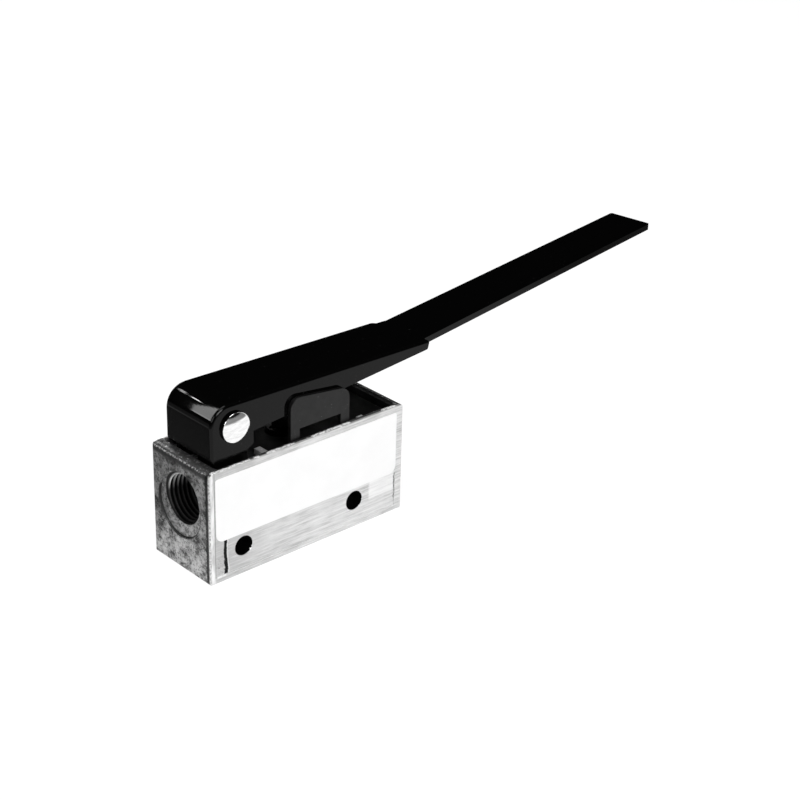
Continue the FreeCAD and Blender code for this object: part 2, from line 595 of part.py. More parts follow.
def build_lever():
    """One-piece lever: channel round the pivot, back plate, and the long strip."""
    body = new_body("lever")
    ear_end = "(pin_height - lever_ear_drop)"
    web_end_top = "(pin_height + web_rise_front)"
    flange_end_x = f"({WEB_END_X} + flange_reach)"
    flange_low_end = (f"{flange_end_x} - flange_end_chamfer", "pin_height + flange_end_rise")
    flange_low_start = ("pin_x + flange_start", "pin_height - flange_start_drop")
    channel = new_sketch(body, "XZ_Plane")
    outline(channel, [
        (f"{BACK_X} + lever_ear_corner", ear_end),
        (f"{BACK_X} + 0.3 * lever_ear_corner", f"{ear_end} + 0.3 * lever_ear_corner"),
        (BACK_X, f"{ear_end} + lever_ear_corner"),
        (BACK_X, "pin_height + web_rise_back"),
        (flange_end_x, f"{web_end_top} + {WEB_SLOPE} * flange_reach"),
        flange_low_end,
        flange_low_start,
        ("pin_x + flange_start", "pin_height - ear_shoulder_drop"),
        ("pin_x + lever_ear_front", "pin_height - ear_shoulder_drop - ear_shoulder_height"),
        ("pin_x + lever_ear_front", ear_end),
    ])
    pad(body, channel, "lever_width", both_sides=True)
    back_top = size("pin_height + web_rise_back")
    outer_face = size("lever_width / 2")
    round_edges(body, "lever_back_radius", lambda edge: runs_along(edge, AXIS_Y)
                and at(edge, x=size(BACK_X), z=back_top))
    round_edges(body, "lever_bend_radius", lambda edge: at(edge, y=outer_face)
                and min(vertex.Z for vertex in edge.Vertexes) > size(f"{web_end_top} - lever_bend_radius")
                and max(vertex.X for vertex in edge.Vertexes) > size(WEB_END_X))

    inside = new_sketch(body, "XZ_Plane")
    inner_back = f"({BACK_X} + lever_thickness)"
    inner_radius = "(lever_back_radius - lever_thickness)"
    web_under = (f"(pin_height + web_rise_back - lever_thickness"
                 f" + {WEB_SLOPE} * (lever_thickness + {inner_radius}))")
    outline(inside, [
        (inner_back, f"{ear_end} - 1"),
        (inner_back, f"{web_under} - {inner_radius}", inner_radius),
        (f"{inner_back} + {inner_radius}", web_under),
        (WEB_END_X, f"{web_end_top} - lever_thickness"),
        (WEB_END_X, f"{web_end_top} + 1"),
        (f"{flange_end_x} + 1", f"{web_end_top} + 1"),
        (f"{flange_end_x} + 1", f"{ear_end} - 1"),
    ])
    cut(body, inside, "lever_width - 2 * lever_thickness", both_sides=True)
    back_edge = new_sketch(body, "XZ_Plane")
    rectangle(back_edge, f"{BACK_X} - 1", f"{ear_end} - 1", inner_back, "pin_height - back_plate_drop")
    cut(body, back_edge, "lever_width - 2 * lever_thickness", both_sides=True)

    tip_x = "(pin_x + strip_length)"
    tip_front_x = f"({tip_x} + strip_slant)"
    tip_z = "(pin_height + strip_rise)"
    root_x = f"({WEB_END_X} - 2 * lever_thickness)"
    strip_start = f"({web_end_top} - strip_sink)"
    root_z = f"({strip_start} - 2 * lever_thickness * {WEB_SLOPE})"
    strip = new_sketch(body, "XZ_Plane")
    outline(strip, [
        (root_x, root_z), (WEB_END_X, strip_start), (tip_front_x, tip_z),
        (tip_front_x, f"{tip_z} - lever_thickness"), (WEB_END_X, f"{strip_start} - lever_thickness"),
        (root_x, f"{root_z} - lever_thickness"),
    ])
    pad(body, strip, "strip_root_width", both_sides=True)
    taper = new_sketch(body, "XY_Plane", z=f"{tip_z} + 1")
    far_x = f"({tip_front_x} + 1)"
    outline(taper, [
        (flange_end_x, "-lever_width"), (flange_end_x, "-strip_root_width / 2"),
        (tip_front_x, "-strip_tip_width / 2"), (far_x, "-strip_tip_width / 2"), (far_x, "-lever_width")])
    rear_x = f"({WEB_END_X} + rear_flange_reach)"
    outline(taper, [
        (f"{rear_x} - rear_flange_lean", "lever_width"), (f"{rear_x} - rear_flange_lean", "lever_width / 2"),
        (rear_x, "strip_root_width / 2"), (tip_front_x, "strip_tip_width / 2"),
        (far_x, "strip_tip_width / 2"), (far_x, "lever_width")])
    cut(body, taper, "strip_rise + 2")
    tip_end = new_sketch(body, "XY_Plane", z=f"{tip_z} + 1")
    outline(tip_end, [(tip_x, "lever_width / 2"), (tip_front_x, "-lever_width / 2"),
                      (far_x, "-lever_width / 2"), (far_x, "lever_width / 2")])
    cut(body, tip_end, "strip_rise + 2")
    round_edges(body, "strip_corner_radius", lambda edge: runs_along(edge, AXIS_Z)
                and min(vertex.X for vertex in edge.Vertexes) > size(tip_x))
    round_edges(body, "flange_corner_radius", lambda edge: runs_along(edge, AXIS_Y)
                and at(edge, x=size(flange_low_end[0]), z=size(flange_low_end[1])))
    hole = new_sketch(body, "XZ_Plane")
    circle(hole, "pin_x", "pin_height", "pin_diameter + 2 * pin_clearance")
    cut(body, hole, "lever_width + 1", both_sides=True)
    return body


def build_spool():
    """Stem and spool in one turned piece, drawn as half of its section."""
    body = new_body("spool")
    sketch = new_sketch(body, "XZ_Plane")
    stem = "stem_diameter / 2"
    flange = "spool_diameter / 2"
    neck = "spool_neck_diameter / 2"
    groove = f"({RING_RADIUS} - ring_section / 2)"
    half = "ring_groove_width / 2"
    outline(sketch, [
        ("0", f"{SPOOL_END_Z} - spigot_length"),
        (neck, f"{SPOOL_END_Z} - spigot_length"),
        (neck, SPOOL_END_Z),
        (flange, SPOOL_END_Z),
        (flange, f"{BALANCE_RING_Z} - {half}"),
        (groove, f"{BALANCE_RING_Z} - {half}"),
        (groove, f"{BALANCE_RING_Z} + {half}"),
        (flange, f"{BALANCE_RING_Z} + {half}"),
        (flange, f"{BALANCE_RING_Z} + {half} + spool_flange"),
        (neck, f"{BALANCE_RING_Z} + {half} + spool_flange"),
        (neck, f"{INLET_RING_Z} - {half} - spool_flange"),
        (flange, f"{INLET_RING_Z} - {half} - spool_flange"),
        (flange, f"{INLET_RING_Z} - {half}"),
        (groove, f"{INLET_RING_Z} - {half}"),
        (groove, f"{INLET_RING_Z} + {half}"),
        (flange, f"{INLET_RING_Z} + {half}"),
        (flange, f"{INLET_RING_Z} + {half} + spool_flange"),
        (neck, f"{INLET_RING_Z} + {half} + spool_flange"),
        (neck, f"{EXHAUST_RING_Z} - {half} - spool_flange"),
        (flange, f"{EXHAUST_RING_Z} - {half} - spool_flange"),
        (flange, f"{EXHAUST_RING_Z} - {half}"),
        (groove, f"{EXHAUST_RING_Z} - {half}"),
        (groove, f"{EXHAUST_RING_Z} + {half}"),
        (stem, f"{EXHAUST_RING_Z} + {half}"),
        (stem, f"{BUTTON_TOP_Z} - button_height + button_socket_depth"),
        ("0", f"{BUTTON_TOP_Z} - button_height + button_socket_depth"),
    ])
    turn(body, sketch, "V_Axis")
    return body


def build_button():
    """Plastic button pressed on the stem, where the lever's web bears."""
    body = new_body("button")
    sketch = new_sketch(body, "XZ_Plane")
    rim = "button_diameter / 2"
    bottom = f"({BUTTON_TOP_Z} - button_height)"
    socket = f"({bottom} + button_socket_depth)"
    outline(sketch, [("0", socket), ("stem_diameter / 2", socket), ("stem_diameter / 2", bottom),
                     (rim, bottom), (rim, f"{BUTTON_TOP_Z} - button_crown - button_edge"),
                     (f"{rim} - button_edge", f"{BUTTON_TOP_Z} - button_crown"),
                     ("button_flat / 2", BUTTON_TOP_Z), ("0", BUTTON_TOP_Z)])
    turn(body, sketch, "V_Axis")
    return body


def build_sleeve():
    """Cartridge sleeve: inner lands and undercuts, outer ring grooves, openings facing the drillings."""
    body = new_body("sleeve")
    sketch = new_sketch(body, "XZ_Plane")
    outer = "(bore_diameter / 2 - sleeve_clearance)"
    groove = "(bore_diameter / 2 - seal_section)"
    land = "land_diameter / 2"
    undercut = "undercut_diameter / 2"
    width = "seal_groove_width / 2"
    corners = [(land, "sleeve_bottom"), (outer, "sleeve_bottom")]
    for centre in (LOW_SEAL_Z, MID_SEAL_Z, TOP_SEAL_Z):
        corners += [(outer, f"{centre} - {width}"), (groove, f"{centre} - {width}"),
                    (groove, f"{centre} + {width}"), (outer, f"{centre} + {width}")]
    corners += [(outer, SLEEVE_TOP_Z), (undercut, SLEEVE_TOP_Z), (undercut, TOP_LAND_Z),
                (land, TOP_LAND_Z), (land, OUTLET_TOP_Z), (undercut, OUTLET_TOP_Z),
                (undercut, OUTLET_LOW_Z), (land, OUTLET_LOW_Z), (land, INLET_TOP_Z),
                (undercut, INLET_TOP_Z), (undercut, INLET_LOW_Z), (land, INLET_LOW_Z)]
    outline(sketch, corners)
    turn(body, sketch, "V_Axis")
    holes = new_sketch(body, "YZ_Plane")
    half_window = "sleeve_window / 2"
    for height in ("inlet_height", "outlet_height"):
        rectangle(holes, f"-{half_window}", f"{height} - {half_window}", half_window,
                  f"{height} + {half_window}")
    cut(body, holes, "bore_diameter", both_sides=True)
    return body


def build_bush():
    """Guide bush between the sleeve and the plate, with exhaust slots along the stem."""
    body = new_body("guide_bush")
    sketch = new_sketch(body, "XZ_Plane")
    outer = "(bore_diameter / 2 - sleeve_clearance)"
    neck = "bush_neck_diameter / 2"
    hole = "(stem_diameter / 2 + stem_clearance)"
    chamber = "undercut_diameter / 2"
    roof = f"({FLOOR_Z} - bush_roof)"
    outline(sketch, [(chamber, SLEEVE_TOP_Z), (outer, SLEEVE_TOP_Z), (outer, FLOOR_Z), (neck, FLOOR_Z),
                     (neck, f"{PLATE_Z} + bush_neck_rise"), (hole, f"{PLATE_Z} + bush_neck_rise"),
                     (hole, roof), (chamber, roof)])
    turn(body, sketch, "V_Axis")
    slots = new_sketch(body, "XY_Plane", z=f"{PLATE_Z} + bush_neck_rise")
    rectangle(slots, "-bush_slot_reach", "-bush_slot_width / 2", "bush_slot_reach", "bush_slot_width / 2")
    cut(body, slots, f"{PLATE_Z} + bush_neck_rise - {roof}")
    return body


def build_washer():
    """Hardened washer that keeps the spring off the casting."""
    body = new_body("spring_washer")
    sketch = new_sketch(body, "XY_Plane", z="bore_floor")
    circle(sketch, "0", "0", "bore_diameter - 2 * sleeve_clearance")
    circle(sketch, "0", "0", "land_diameter / 2")
    pad(body, sketch, "washer_thickness")
    return body


def build_ring(label, radius, section, height):
    """Square-cut rubber ring round the bore's axis."""
    body = new_body(label)
    sketch = new_sketch(body, "XZ_Plane")
    rectangle(sketch, f"{radius} - {section} / 2", f"{height} - {section} / 2",
              f"{radius} + {section} / 2", f"{height} + {section} / 2")
    turn(body, sketch, "V_Axis")
    return body


def build_spring():
    """Return spring of square wire, from the washer to the spool."""
    wire_radius = "wire_diameter / 2"
    low = f"({SPRING_SEAT_Z} + spring_seat_gap + {wire_radius})"
    high = f"({SPOOL_END_Z} - spring_seat_gap - {wire_radius})"
    radius = f"(land_diameter / 2 - spring_clearance - {wire_radius})"
    helix = doc.addObject("Part::Helix", "spring_path")
    bind(helix, "Radius", radius)
    bind(helix, "Pitch", f"({high} - {low}) / spring_turns")
    bind(helix, "Height", f"{high} - {low}")
    bind(helix, "Placement.Base.z", low)
    wire = doc.addObject("Part::RegularPolygon", "spring_wire")
    wire.Polygon = 4
    bind(wire, "Circumradius", wire_radius)
    bind(wire, "Placement.Base.x", radius)
    bind(wire, "Placement.Base.z", low)
    wire.Placement.Rotation = FreeCAD.Rotation(AXIS_X, 90)
    spring = doc.addObject("Part::Sweep", "return_spring")
    spring.Label = "return_spring"
    spring.Sections = [wire]
    spring.Spine = (helix, ["Edge1"])
    spring.Solid = True
    spring.Frenet = True
    doc.recompute()
    return spring


nodes = [
    build_valve_body(),
    build_label(),
    build_bracket(),
    build_pin(),
    build_spacer(),
    build_lever(),
    build_spool(),
    build_button(),
    build_ring("exhaust_ring", RING_RADIUS, "ring_section", EXHAUST_RING_Z),
    build_ring("inlet_ring", RING_RADIUS, "ring_section", INLET_RING_Z),
    build_ring("balance_ring", RING_RADIUS, "ring_section", BALANCE_RING_Z),
    build_sleeve(),
    build_ring("sleeve_ring_top", SEAL_RADIUS, "seal_section", TOP_SEAL_Z),
    build_ring("sleeve_ring_middle", SEAL_RADIUS, "seal_section", MID_SEAL_Z),
    build_ring("sleeve_ring_low", SEAL_RADIUS, "seal_section", LOW_SEAL_Z),
    build_bush(),
    build_washer(),
    build_spring(),
]
doc.recompute()

for item in doc.Objects:
    if "Invalid" in item.State or "Error" in item.State:
        raise RuntimeError(f"{item.Name} failed: {item.State}")
for node in nodes:
    shape = node.Shape
    if shape.isNull() or not shape.isValid() or len(shape.Solids) != 1:
        raise RuntimeError(f"{node.Label} is not one valid solid")

os.makedirs("parts", exist_ok=True)
for node in nodes:
    node.Shape.exportStep(f"parts/{node.Label}.step")
    box = node.Shape.BoundBox
    print(f"{node.Label:20s} volume {node.Shape.Volume:9.2f}  "
          f"X {box.XMin:7.2f} {box.XMax:7.2f}  Y {box.YMin:6.2f} {box.YMax:6.2f}  "
          f"Z {box.ZMin:6.2f} {box.ZMax:6.2f}")
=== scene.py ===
"""Looks of the lever-operated pneumatic valve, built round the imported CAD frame.

The frame is the CAD model's, in metres: +X along the body towards the free end of the lever, the
label faces -Y, +Z is up and the body stands on z = 0.  Sizes and places in the materials, and
constants whose comment says so, are in millimetres.
"""
import json
import math
import random

import bmesh
import bpy
from mathutils import Matrix, Vector


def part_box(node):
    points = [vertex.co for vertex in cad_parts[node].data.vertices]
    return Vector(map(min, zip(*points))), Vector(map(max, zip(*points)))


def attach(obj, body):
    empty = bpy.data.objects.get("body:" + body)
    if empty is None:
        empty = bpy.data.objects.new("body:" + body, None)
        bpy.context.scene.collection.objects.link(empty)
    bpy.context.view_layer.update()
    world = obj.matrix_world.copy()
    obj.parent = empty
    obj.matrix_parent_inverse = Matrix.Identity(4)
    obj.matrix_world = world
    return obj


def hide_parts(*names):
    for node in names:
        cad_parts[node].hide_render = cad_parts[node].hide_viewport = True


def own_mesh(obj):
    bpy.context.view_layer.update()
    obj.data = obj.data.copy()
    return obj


MM = 0.001
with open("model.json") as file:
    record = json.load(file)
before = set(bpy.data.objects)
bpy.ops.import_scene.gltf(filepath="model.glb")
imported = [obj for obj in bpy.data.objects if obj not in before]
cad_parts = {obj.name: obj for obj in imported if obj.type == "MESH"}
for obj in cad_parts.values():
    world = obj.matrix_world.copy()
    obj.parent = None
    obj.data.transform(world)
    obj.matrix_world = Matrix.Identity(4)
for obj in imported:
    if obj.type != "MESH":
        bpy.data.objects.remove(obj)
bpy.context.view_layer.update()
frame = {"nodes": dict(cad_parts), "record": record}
nodes = frame["nodes"]
scene = bpy.context.scene

# Camera, fitted to the straight edges of the photograph.
CAMERA_PLACE = Vector((-180.08, -223.61, 164.27)) * MM
CAMERA_AHEAD = Vector((0.61542, 0.65849, -0.43318))
CAMERA_RIGHT = Vector((0.73892, -0.67328, 0.02631))
FOCAL_PIXELS = 1794.6
IMAGE_PIXELS = 800
SENSOR_MM = 36.0
CLIP_START = 10 * MM

# Meshes: distances below which points are merged, the angle up to which faces count as one flat
# face, the angles from which an edge is rounded, and those from which it is shaded sharp.
WELD = 0.0005 * MM
THREAD_WELD = 0.001 * MM
FLAT_ANGLE = math.radians(0.3)
BEVEL_ANGLE = math.radians(28.0)
LABEL_BEVEL_ANGLE = math.radians(30.0)
BEVEL_SEGMENTS = 2
SHARP_ANGLE = math.radians(35.0)
RIVET_SHARP_ANGLE = math.radians(30.0)
STAKED_SHARP_ANGLE = math.radians(50.0)
ARC_STEPS = 8

# Ports: 1/8-27 pipe thread.  The cutter stands a little out of the body's end, and its slim parts
# pass through the bore's air without cutting.
PORT_HEIGHT = frame["record"]["mounts"][1]["pos_m"][2]
PORT_BORE = frame["record"]["mounts"][1]["dims"]["r_mm"] * MM
THREAD_PITCH = 25.4 / 27 * MM
THREAD_ROOT = 5.1 * MM
THREAD_TAPER = 1 / 32
THREAD_LENGTH = 8.8 * MM
THREAD_LEAD = 0.6 * MM
THREAD_RUNOUT = 1.2 * THREAD_PITCH
THREAD_FLAT = 1.25
THREAD_AIR = PORT_BORE - 0.15 * MM
THREAD_ROWS = 10
THREAD_STEPS = 56

# Rounding of the top edges of the casting's ends, whose arc stops a little short of the faces
# beside it, and of the sharp edges of the casting, the lever, the bracket and the label.
END_ROUNDING = 1.1 * MM
END_ARC_START, END_ARC_SWEEP = 1.0, 88.0
CASTING_EDGE = 0.1 * MM
LEVER_EDGE = 0.12 * MM
BRACKET_EDGE = 0.08 * MM
LABEL_EDGE = 0.03 * MM

# Label: borders, and the radii of its upper and its lower corners.
LABEL_X = (-20.9 * MM, 20.45 * MM)
LABEL_Z = (8.05 * MM, 20.35 * MM)
LABEL_CORNERS = (0.5 * MM, 1.6 * MM)
LABEL_THICKNESS = 0.08 * MM

# Rivet, in millimetres: insets from the head's radius with y, the dome, and radii of the tail.
RIVET_RIM = ((0.45, -6.5), (0.03, -6.98), (0.05, -7.03))
RIVET_DOME_INSET = 0.12
RIVET_DOME_RADIUS = 8.5
RIVET_CROWN_Y = -7.4
RIVET_TAIL = ((0.0, 7.2), (1.9, 7.15), (2.2, 6.95), (2.3, 6.8), (2.3, 6.5), (1.5, 6.5), (1.5, -6.5))
RIVET_STEPS = 64

# Peened stretches of the rim, in millimetres along X, on the front (-1) and the back (1).  The
# rise of the burrs above the rim and the insets of their borders each have a least value and a
# random part.
STAKED_SPANS = ((-1, ((-21.6, -13.2), (-12.4, -11.2), (-9.6, -3.4), (0.4, 9.4), (16.9, 20.4))),
                (1, ((-20.0, -12.0), (-6.0, 2.0), (8.0, 19.0))))
STAKED_STEP = 0.45
STAKED_FOOT = 0.2 * MM
STAKED_SHOULDER = 0.02 * MM
STAKED_RISE, STAKED_RISE_RANGE = 0.05, 0.09
STAKED_OUTER, STAKED_OUTER_RANGE = 0.02, 0.10
STAKED_INNER, STAKED_INNER_RANGE = 0.45, 0.30
STAKED_END_SWELL = 0.35
STAKED_SEED = 5

# Burrs on the front rims of the two cross holes, in millimetres: the hole's x and z, then the
# turn in degrees and the half width of each burr.
HOLE_BURRS = ((-14.9, 5.45, ((-38.0, 0.3), (-20.0, 0.12))),
              (10.5, 5.45, ((-50.0, 0.14), (-10.0, 0.12), (35.0, 0.1))))
HOLE_RIM_RADIUS = 2.0
HOLE_RIM_Y = -8.16
HOLE_BURR_TIP, HOLE_BURR_DIP, HOLE_BURR_ROOT = 0.1, 0.1, 0.35

# Areas of the casting and the bracket, in millimetres.  A fade gives where it starts and where it
# is full, and the others give two borders.
SIDE_FADE = (8.0, 8.08)
FRONT_FADE = (0.0, -1.0)
DULL_FADE = (-19.0, -2.0)
# Paler patch of painted reflection on the front near the +X end:
SHEEN_PATCH_X, SHEEN_PATCH_Z = (14.1, 20.1), (4.4, 8.4)
LEDGE_FADE = (3.0, 2.0)
LOW_END_FADE = (10.0, 3.0)
TOP_SHADE_FADE = (20.6, 21.2)
ARRIS_FADE = (21.0, 21.2)
FRONT_EDGE_BAND = (-7.75, -7.1)
FRONT_EDGE_FADE = (-7.75, -8.0)
BACK_EDGE_FADE = (7.9, 8.1)
LUG_Z, LUG_FADE, LUG_X = (20.2, 21.3), (7.3, 7.2), (-18.5, 18.0)
HOLE_Z, HOLE_FADE = (0.4, 8.2), (20.0, 19.9)
POCKET_WALL_FADE = (19.3, 19.5)
BRACKET_FADE = (20.4, 21.4)

# Marks on the machined front, in millimetres: a wavy line of painted shade with a painted highlight
# along its border, the corner painted lighter as a highlight, the grey line beside it, a painted
# highlight and nicks at its foot, and a fine line of painted shade near the other end.
WAVY_X, WAVY_BORDER_X, WAVY_Z = (-19.25, -18.5), (-18.42, -18.2), (1.4, 8.4)
CORNER_FADE = (-21.0, -21.3)
CORNER_LINE_X, CORNER_LINE_FADE = (-21.2, -21.0), (1.0, 1.3)
FOOT_GLINT_X, FOOT_GLINT_Z = (-20.8, -18.9), (0.95, 1.35)
NICKS_X, NICKS_Z = (-20.5, -19.1), (1.9, 5.0)
STEP_SHADE_X, STEP_SHADE_Z = (20.2, 20.4), (2.7, 7.9)

# Insides of the ports, in millimetres: painted light and shade on the threads, with a painted
# shadow, and the shallow recess round the inlet.
THREAD_FADE = (4.42, 4.7)
DEEP_FADE = (20.5, 15.0)
SHADOW_LEAN, SHADOW_FADE = 0.4, (14.0, 11.6)
MOUTH_FADE, MOUTH_DEPTH_FADE, BORE_END_FADE = (5.24, 5.2), (21.75, 21.65), (12.0, 12.1)
RECESS_Y, RECESS_DROP = 0.5, 1.5
RECESS_TOP_FADE, RECESS_END_FADE = (14.6, 14.2), (-21.0, -21.4)
RECESS_FLOOR, RECESS_BORDER = (4.9, 5.8), (5.8, 6.12)

# Studio.  Gloss sees a white table top near the valve, with one dark corner, and a dimmer room.
FLOOR_HALF = 3.0
FLOOR_GLOW = 1.08
FLOOR_GLOW_SHARE = 0.85
ROOM_LEVEL = 0.12
TABLE_RADIUS = 0.11
DARK_CORNER = (-0.062, 0.045, 0.0)
DARK_CORNER_RADIUS = 0.05

# World light by a component of the ray's direction: start and end, then levels there.
WORLD_LIGHT = (("Z", 0.6, 0.95, 0.001, 0.04),
               ("Y", -0.7, -0.97, 0.0, 0.015))

# Area lamps: name, place, target, width, height and radiance.
LAMPS = (("key_light", (-0.12, -0.8, 0.62), (0, 0, 0.015), 0.5, 0.35, 13.5),
         ("fill_light", (-0.75, -0.15, 0.45), (0, 0, 0.015), 0.4, 0.4, 4.0),
         ("top_light", (0.0, 0.05, 0.9), (0, 0, 0), 0.5, 0.5, 3.5),
         ("rear_light", (0.2, 0.8, 0.25), (0, 0, 0.015), 0.5, 0.3, 5.0))

# Strip lamps that the lever's rounded back end mirrors: name, y, first and last turn in degrees,
# width, radiance and number of parts.
BEND_RADIUS = 4 * MM
BEND_AXIS_DROP = 2.39 * MM
BEND_LAMP_DISTANCE = 0.1
BEND_LAMPS = (("bend_lamp", -2.55 * MM, 72.0, 40.0, 7.8 * MM, 8.5, 4),
              ("border_lamp", -2.55 * MM, 73.5, 70.5, 7.8 * MM, 9.0, 1),
              ("streak_lamp", 0.9 * MM, 17.0, 13.0, 3.2 * MM, 45.0, 1),
              ("spot_lamp", 4.8 * MM, 18.0, 7.0, 2.4 * MM, 13.0, 1))

# The lower half of the bend's highlight narrows in steps, all flush at one side: first and last
# turn, and width.
BEND_SIDE = -6.45 * MM
BEND_STEP_RADIANCE = 8.5
BEND_STEPS = ((40.0, 33.0, 7.0 * MM), (33.0, 26.0, 6.0 * MM), (26.0, 19.0, 5.0 * MM),
              (19.0, 12.0, 4.0 * MM), (12.0, 5.0, 2.8 * MM), (5.0, -2.0, 1.5 * MM))


def new_object(name, data):
    """New object of the scene."""
    obj = bpy.data.objects.new(name, data)
    scene.collection.objects.link(obj)
    return obj


def place_camera():
    """The scene's camera, where the photograph was taken."""
    scene.view_settings.view_transform = "Standard"
    right = CAMERA_RIGHT.normalized()
    back = -CAMERA_AHEAD.normalized()
    up = back.cross(right)
    data = bpy.data.cameras.new("camera")
    data.sensor_width = SENSOR_MM
    data.lens = SENSOR_MM * FOCAL_PIXELS / IMAGE_PIXELS
    data.clip_start = CLIP_START
    camera = new_object("camera", data)
    turn = Matrix((right, up, back)).transposed().to_4x4()
    camera.matrix_world = Matrix.Translation(CAMERA_PLACE) @ turn
    scene.camera = camera


class Shader:
    """A node material with its Principled shader and short ways to add texture nodes."""

    def __init__(self, name, colour, roughness, metallic=0.0, specular=0.5):
        self.material = bpy.data.materials.new(name)
        self.material.use_nodes = True
        self.tree = self.material.node_tree
        self.bsdf = self.tree.nodes["Principled BSDF"]
        self.set("Base Color", (*colour, 1.0))
        self.set("Roughness", roughness)
        self.set("Metallic", metallic)
        self.set("Specular IOR Level", specular)
        self.coords = self.tree.nodes.new("ShaderNodeTexCoord")
        self.height = None

    def set(self, socket, value):
        """Give an input of the Principled shader a value or a link."""
        if isinstance(value, bpy.types.NodeSocket):
            self.link(value, self.bsdf.inputs[socket])
        else:
            self.bsdf.inputs[socket].default_value = value

    def link(self, value, socket):
        """Link an output to an input."""
        self.tree.links.new(value, socket)

    def node(self, kind, inputs=None, **settings):
        """New node with its settings, and with a value or a link for each named input."""
        node = self.tree.nodes.new("ShaderNode" + kind)
        for key, value in settings.items():
            setattr(node, key, value)
        for key, value in (inputs or {}).items():
            if isinstance(value, bpy.types.NodeSocket):
                self.link(value, node.inputs[key])
            else:
                node.inputs[key].default_value = value
        return node

    def place(self, scale=(1, 1, 1), turn=(0, 0, 0)):
        """Object coordinates in millimetres, scaled and turned."""
        scale = tuple(s / MM for s in scale)
        turn = tuple(math.radians(t) for t in turn)
        mapping = self.node("Mapping", {"Vector": self.coords.outputs["Object"], "Scale": scale,
                                        "Rotation": turn})
        return mapping.outputs["Vector"]

    def noise(self, size, detail=3.0, stretch=(1, 1, 1), turn=(0, 0, 0), roughness=0.55):
        """Noise from 0 to 1 whose grains are about size millimetres, times 1 / stretch."""
        vector = self.place(tuple(s / size for s in stretch), turn)
        node = self.node("TexNoise", {"Vector": vector, "Scale": 1.0, "Detail": detail,
                                      "Roughness": roughness})
        return node.outputs["Fac"]

    def spread(self, value, low, high, to_low=0.0, to_high=1.0, smooth=False):
        """Map the range from low to high to the one from to_low to to_high, clamped."""
        node = self.node("MapRange", {"Value": value, "From Min": low, "From Max": high,
                                      "To Min": to_low, "To Max": to_high})
        if smooth:
            node.interpolation_type = "SMOOTHSTEP"
        return node.outputs["Result"]

    def math(self, operation, a, b=0.0, clamp=False):
        """Result of one operation on two values or outputs."""
        return self.node("Math", {0: a, 1: b}, operation=operation, use_clamp=clamp).outputs[0]

    def times(self, *values):
        """Product of two or more values."""
        product = values[0]
        for value in values[1:]:
            product = self.math("MULTIPLY", product, value)
        return product

    def mix(self, share, a, b):
        """Mix two colours, given as grey levels, colours or sockets."""
        node = self.node("Mix", {"Factor": share}, data_type="RGBA")
        for socket, value in ((node.inputs[6], a), (node.inputs[7], b)):
            if isinstance(value, bpy.types.NodeSocket):
                self.link(value, socket)
            elif isinstance(value, tuple):
                socket.default_value = (*value, 1.0)
            else:
                socket.default_value = (value, value, value, 1.0)
        return node.outputs[2]

    def normal(self, axis):
        """Size of one component of the surface's own normal."""
        split = self.node("SeparateXYZ", {"Vector": self.coords.outputs["Normal"]})
        return self.math("ABSOLUTE", split.outputs[axis])

    def position(self, axis):
        """Object coordinate along one axis, in millimetres."""
        split = self.node("SeparateXYZ", {"Vector": self.coords.outputs["Object"]})
        return self.times(split.outputs[axis], 1 / MM)

    def distance(self, a, b):
        """Length of the vector whose two components are given."""
        squares = self.math("ADD", self.math("POWER", a, 2.0), self.math("POWER", b, 2.0))
        return self.math("SQRT", squares)

    def between(self, value, low, high, soft=0.1):
        """1 where value lies between low and high, with soft borders."""
        rise = self.spread(value, low - soft, low + soft, smooth=True)
        fall = self.spread(value, high - soft, high + soft, 1.0, 0.0, smooth=True)
        return self.times(rise, fall)

    def bump(self, height, depth):
        """Raise the surface by up to depth millimetres where height is 1."""
        node = self.node("Bump", {"Height": height, "Distance": depth * MM, "Strength": 1.0})
        if self.height is not None:
            self.link(self.height, node.inputs["Normal"])
        self.height = node.outputs["Normal"]
        self.set("Normal", self.height)


def zinc_material():
    """Die-cast zinc: sides brushed along the body, ends and top left rough and dark."""
    s = Shader("zinc_cast", (0.7, 0.7, 0.69), 0.4, metallic=0.75)
    x, y, z = (s.position(axis) for axis in "XYZ")
    streaks = s.noise(0.32, 6.0, stretch=(0.05, 1.0, 1.0), turn=(0, 4, 0), roughness=0.7)
    grains = s.noise(0.45, 5.0, roughness=0.7)
    side = s.times(s.spread(s.math("ABSOLUTE", y), *SIDE_FADE), s.spread(s.normal("X"), 0.6, 0.5))
    # The upward-facing ledge at the foot of the sides is painted light and not metallic, a painted
    # highlight.
    ledge = s.times(s.spread(s.normal("Z"), 0.3, 0.5), s.spread(z, *LEDGE_FADE))
    brushed = s.mix(ledge, brushed_side(s, streaks, x, y, z), 0.8)
    cast = recess_marks(s, rough_end(s, grains, y, z), x, y, z)
    cast = rough_top(s, cast, x, y, z)
    s.set("Base Color", s.mix(side, cast, brushed))
    s.set("Metallic", s.spread(ledge, 0.0, 1.0, 0.75, 0.0))
    duller = s.spread(side, 0.0, 1.0, 0.14, 0.0)
    s.set("Roughness", s.math("ADD", s.spread(streaks, 0.3, 0.7, 0.28, 0.42), duller))
    s.bump(streaks, 0.02)
    s.bump(s.times(grains, s.math("SUBTRACT", 1.0, side)), 0.1)
    return s.material


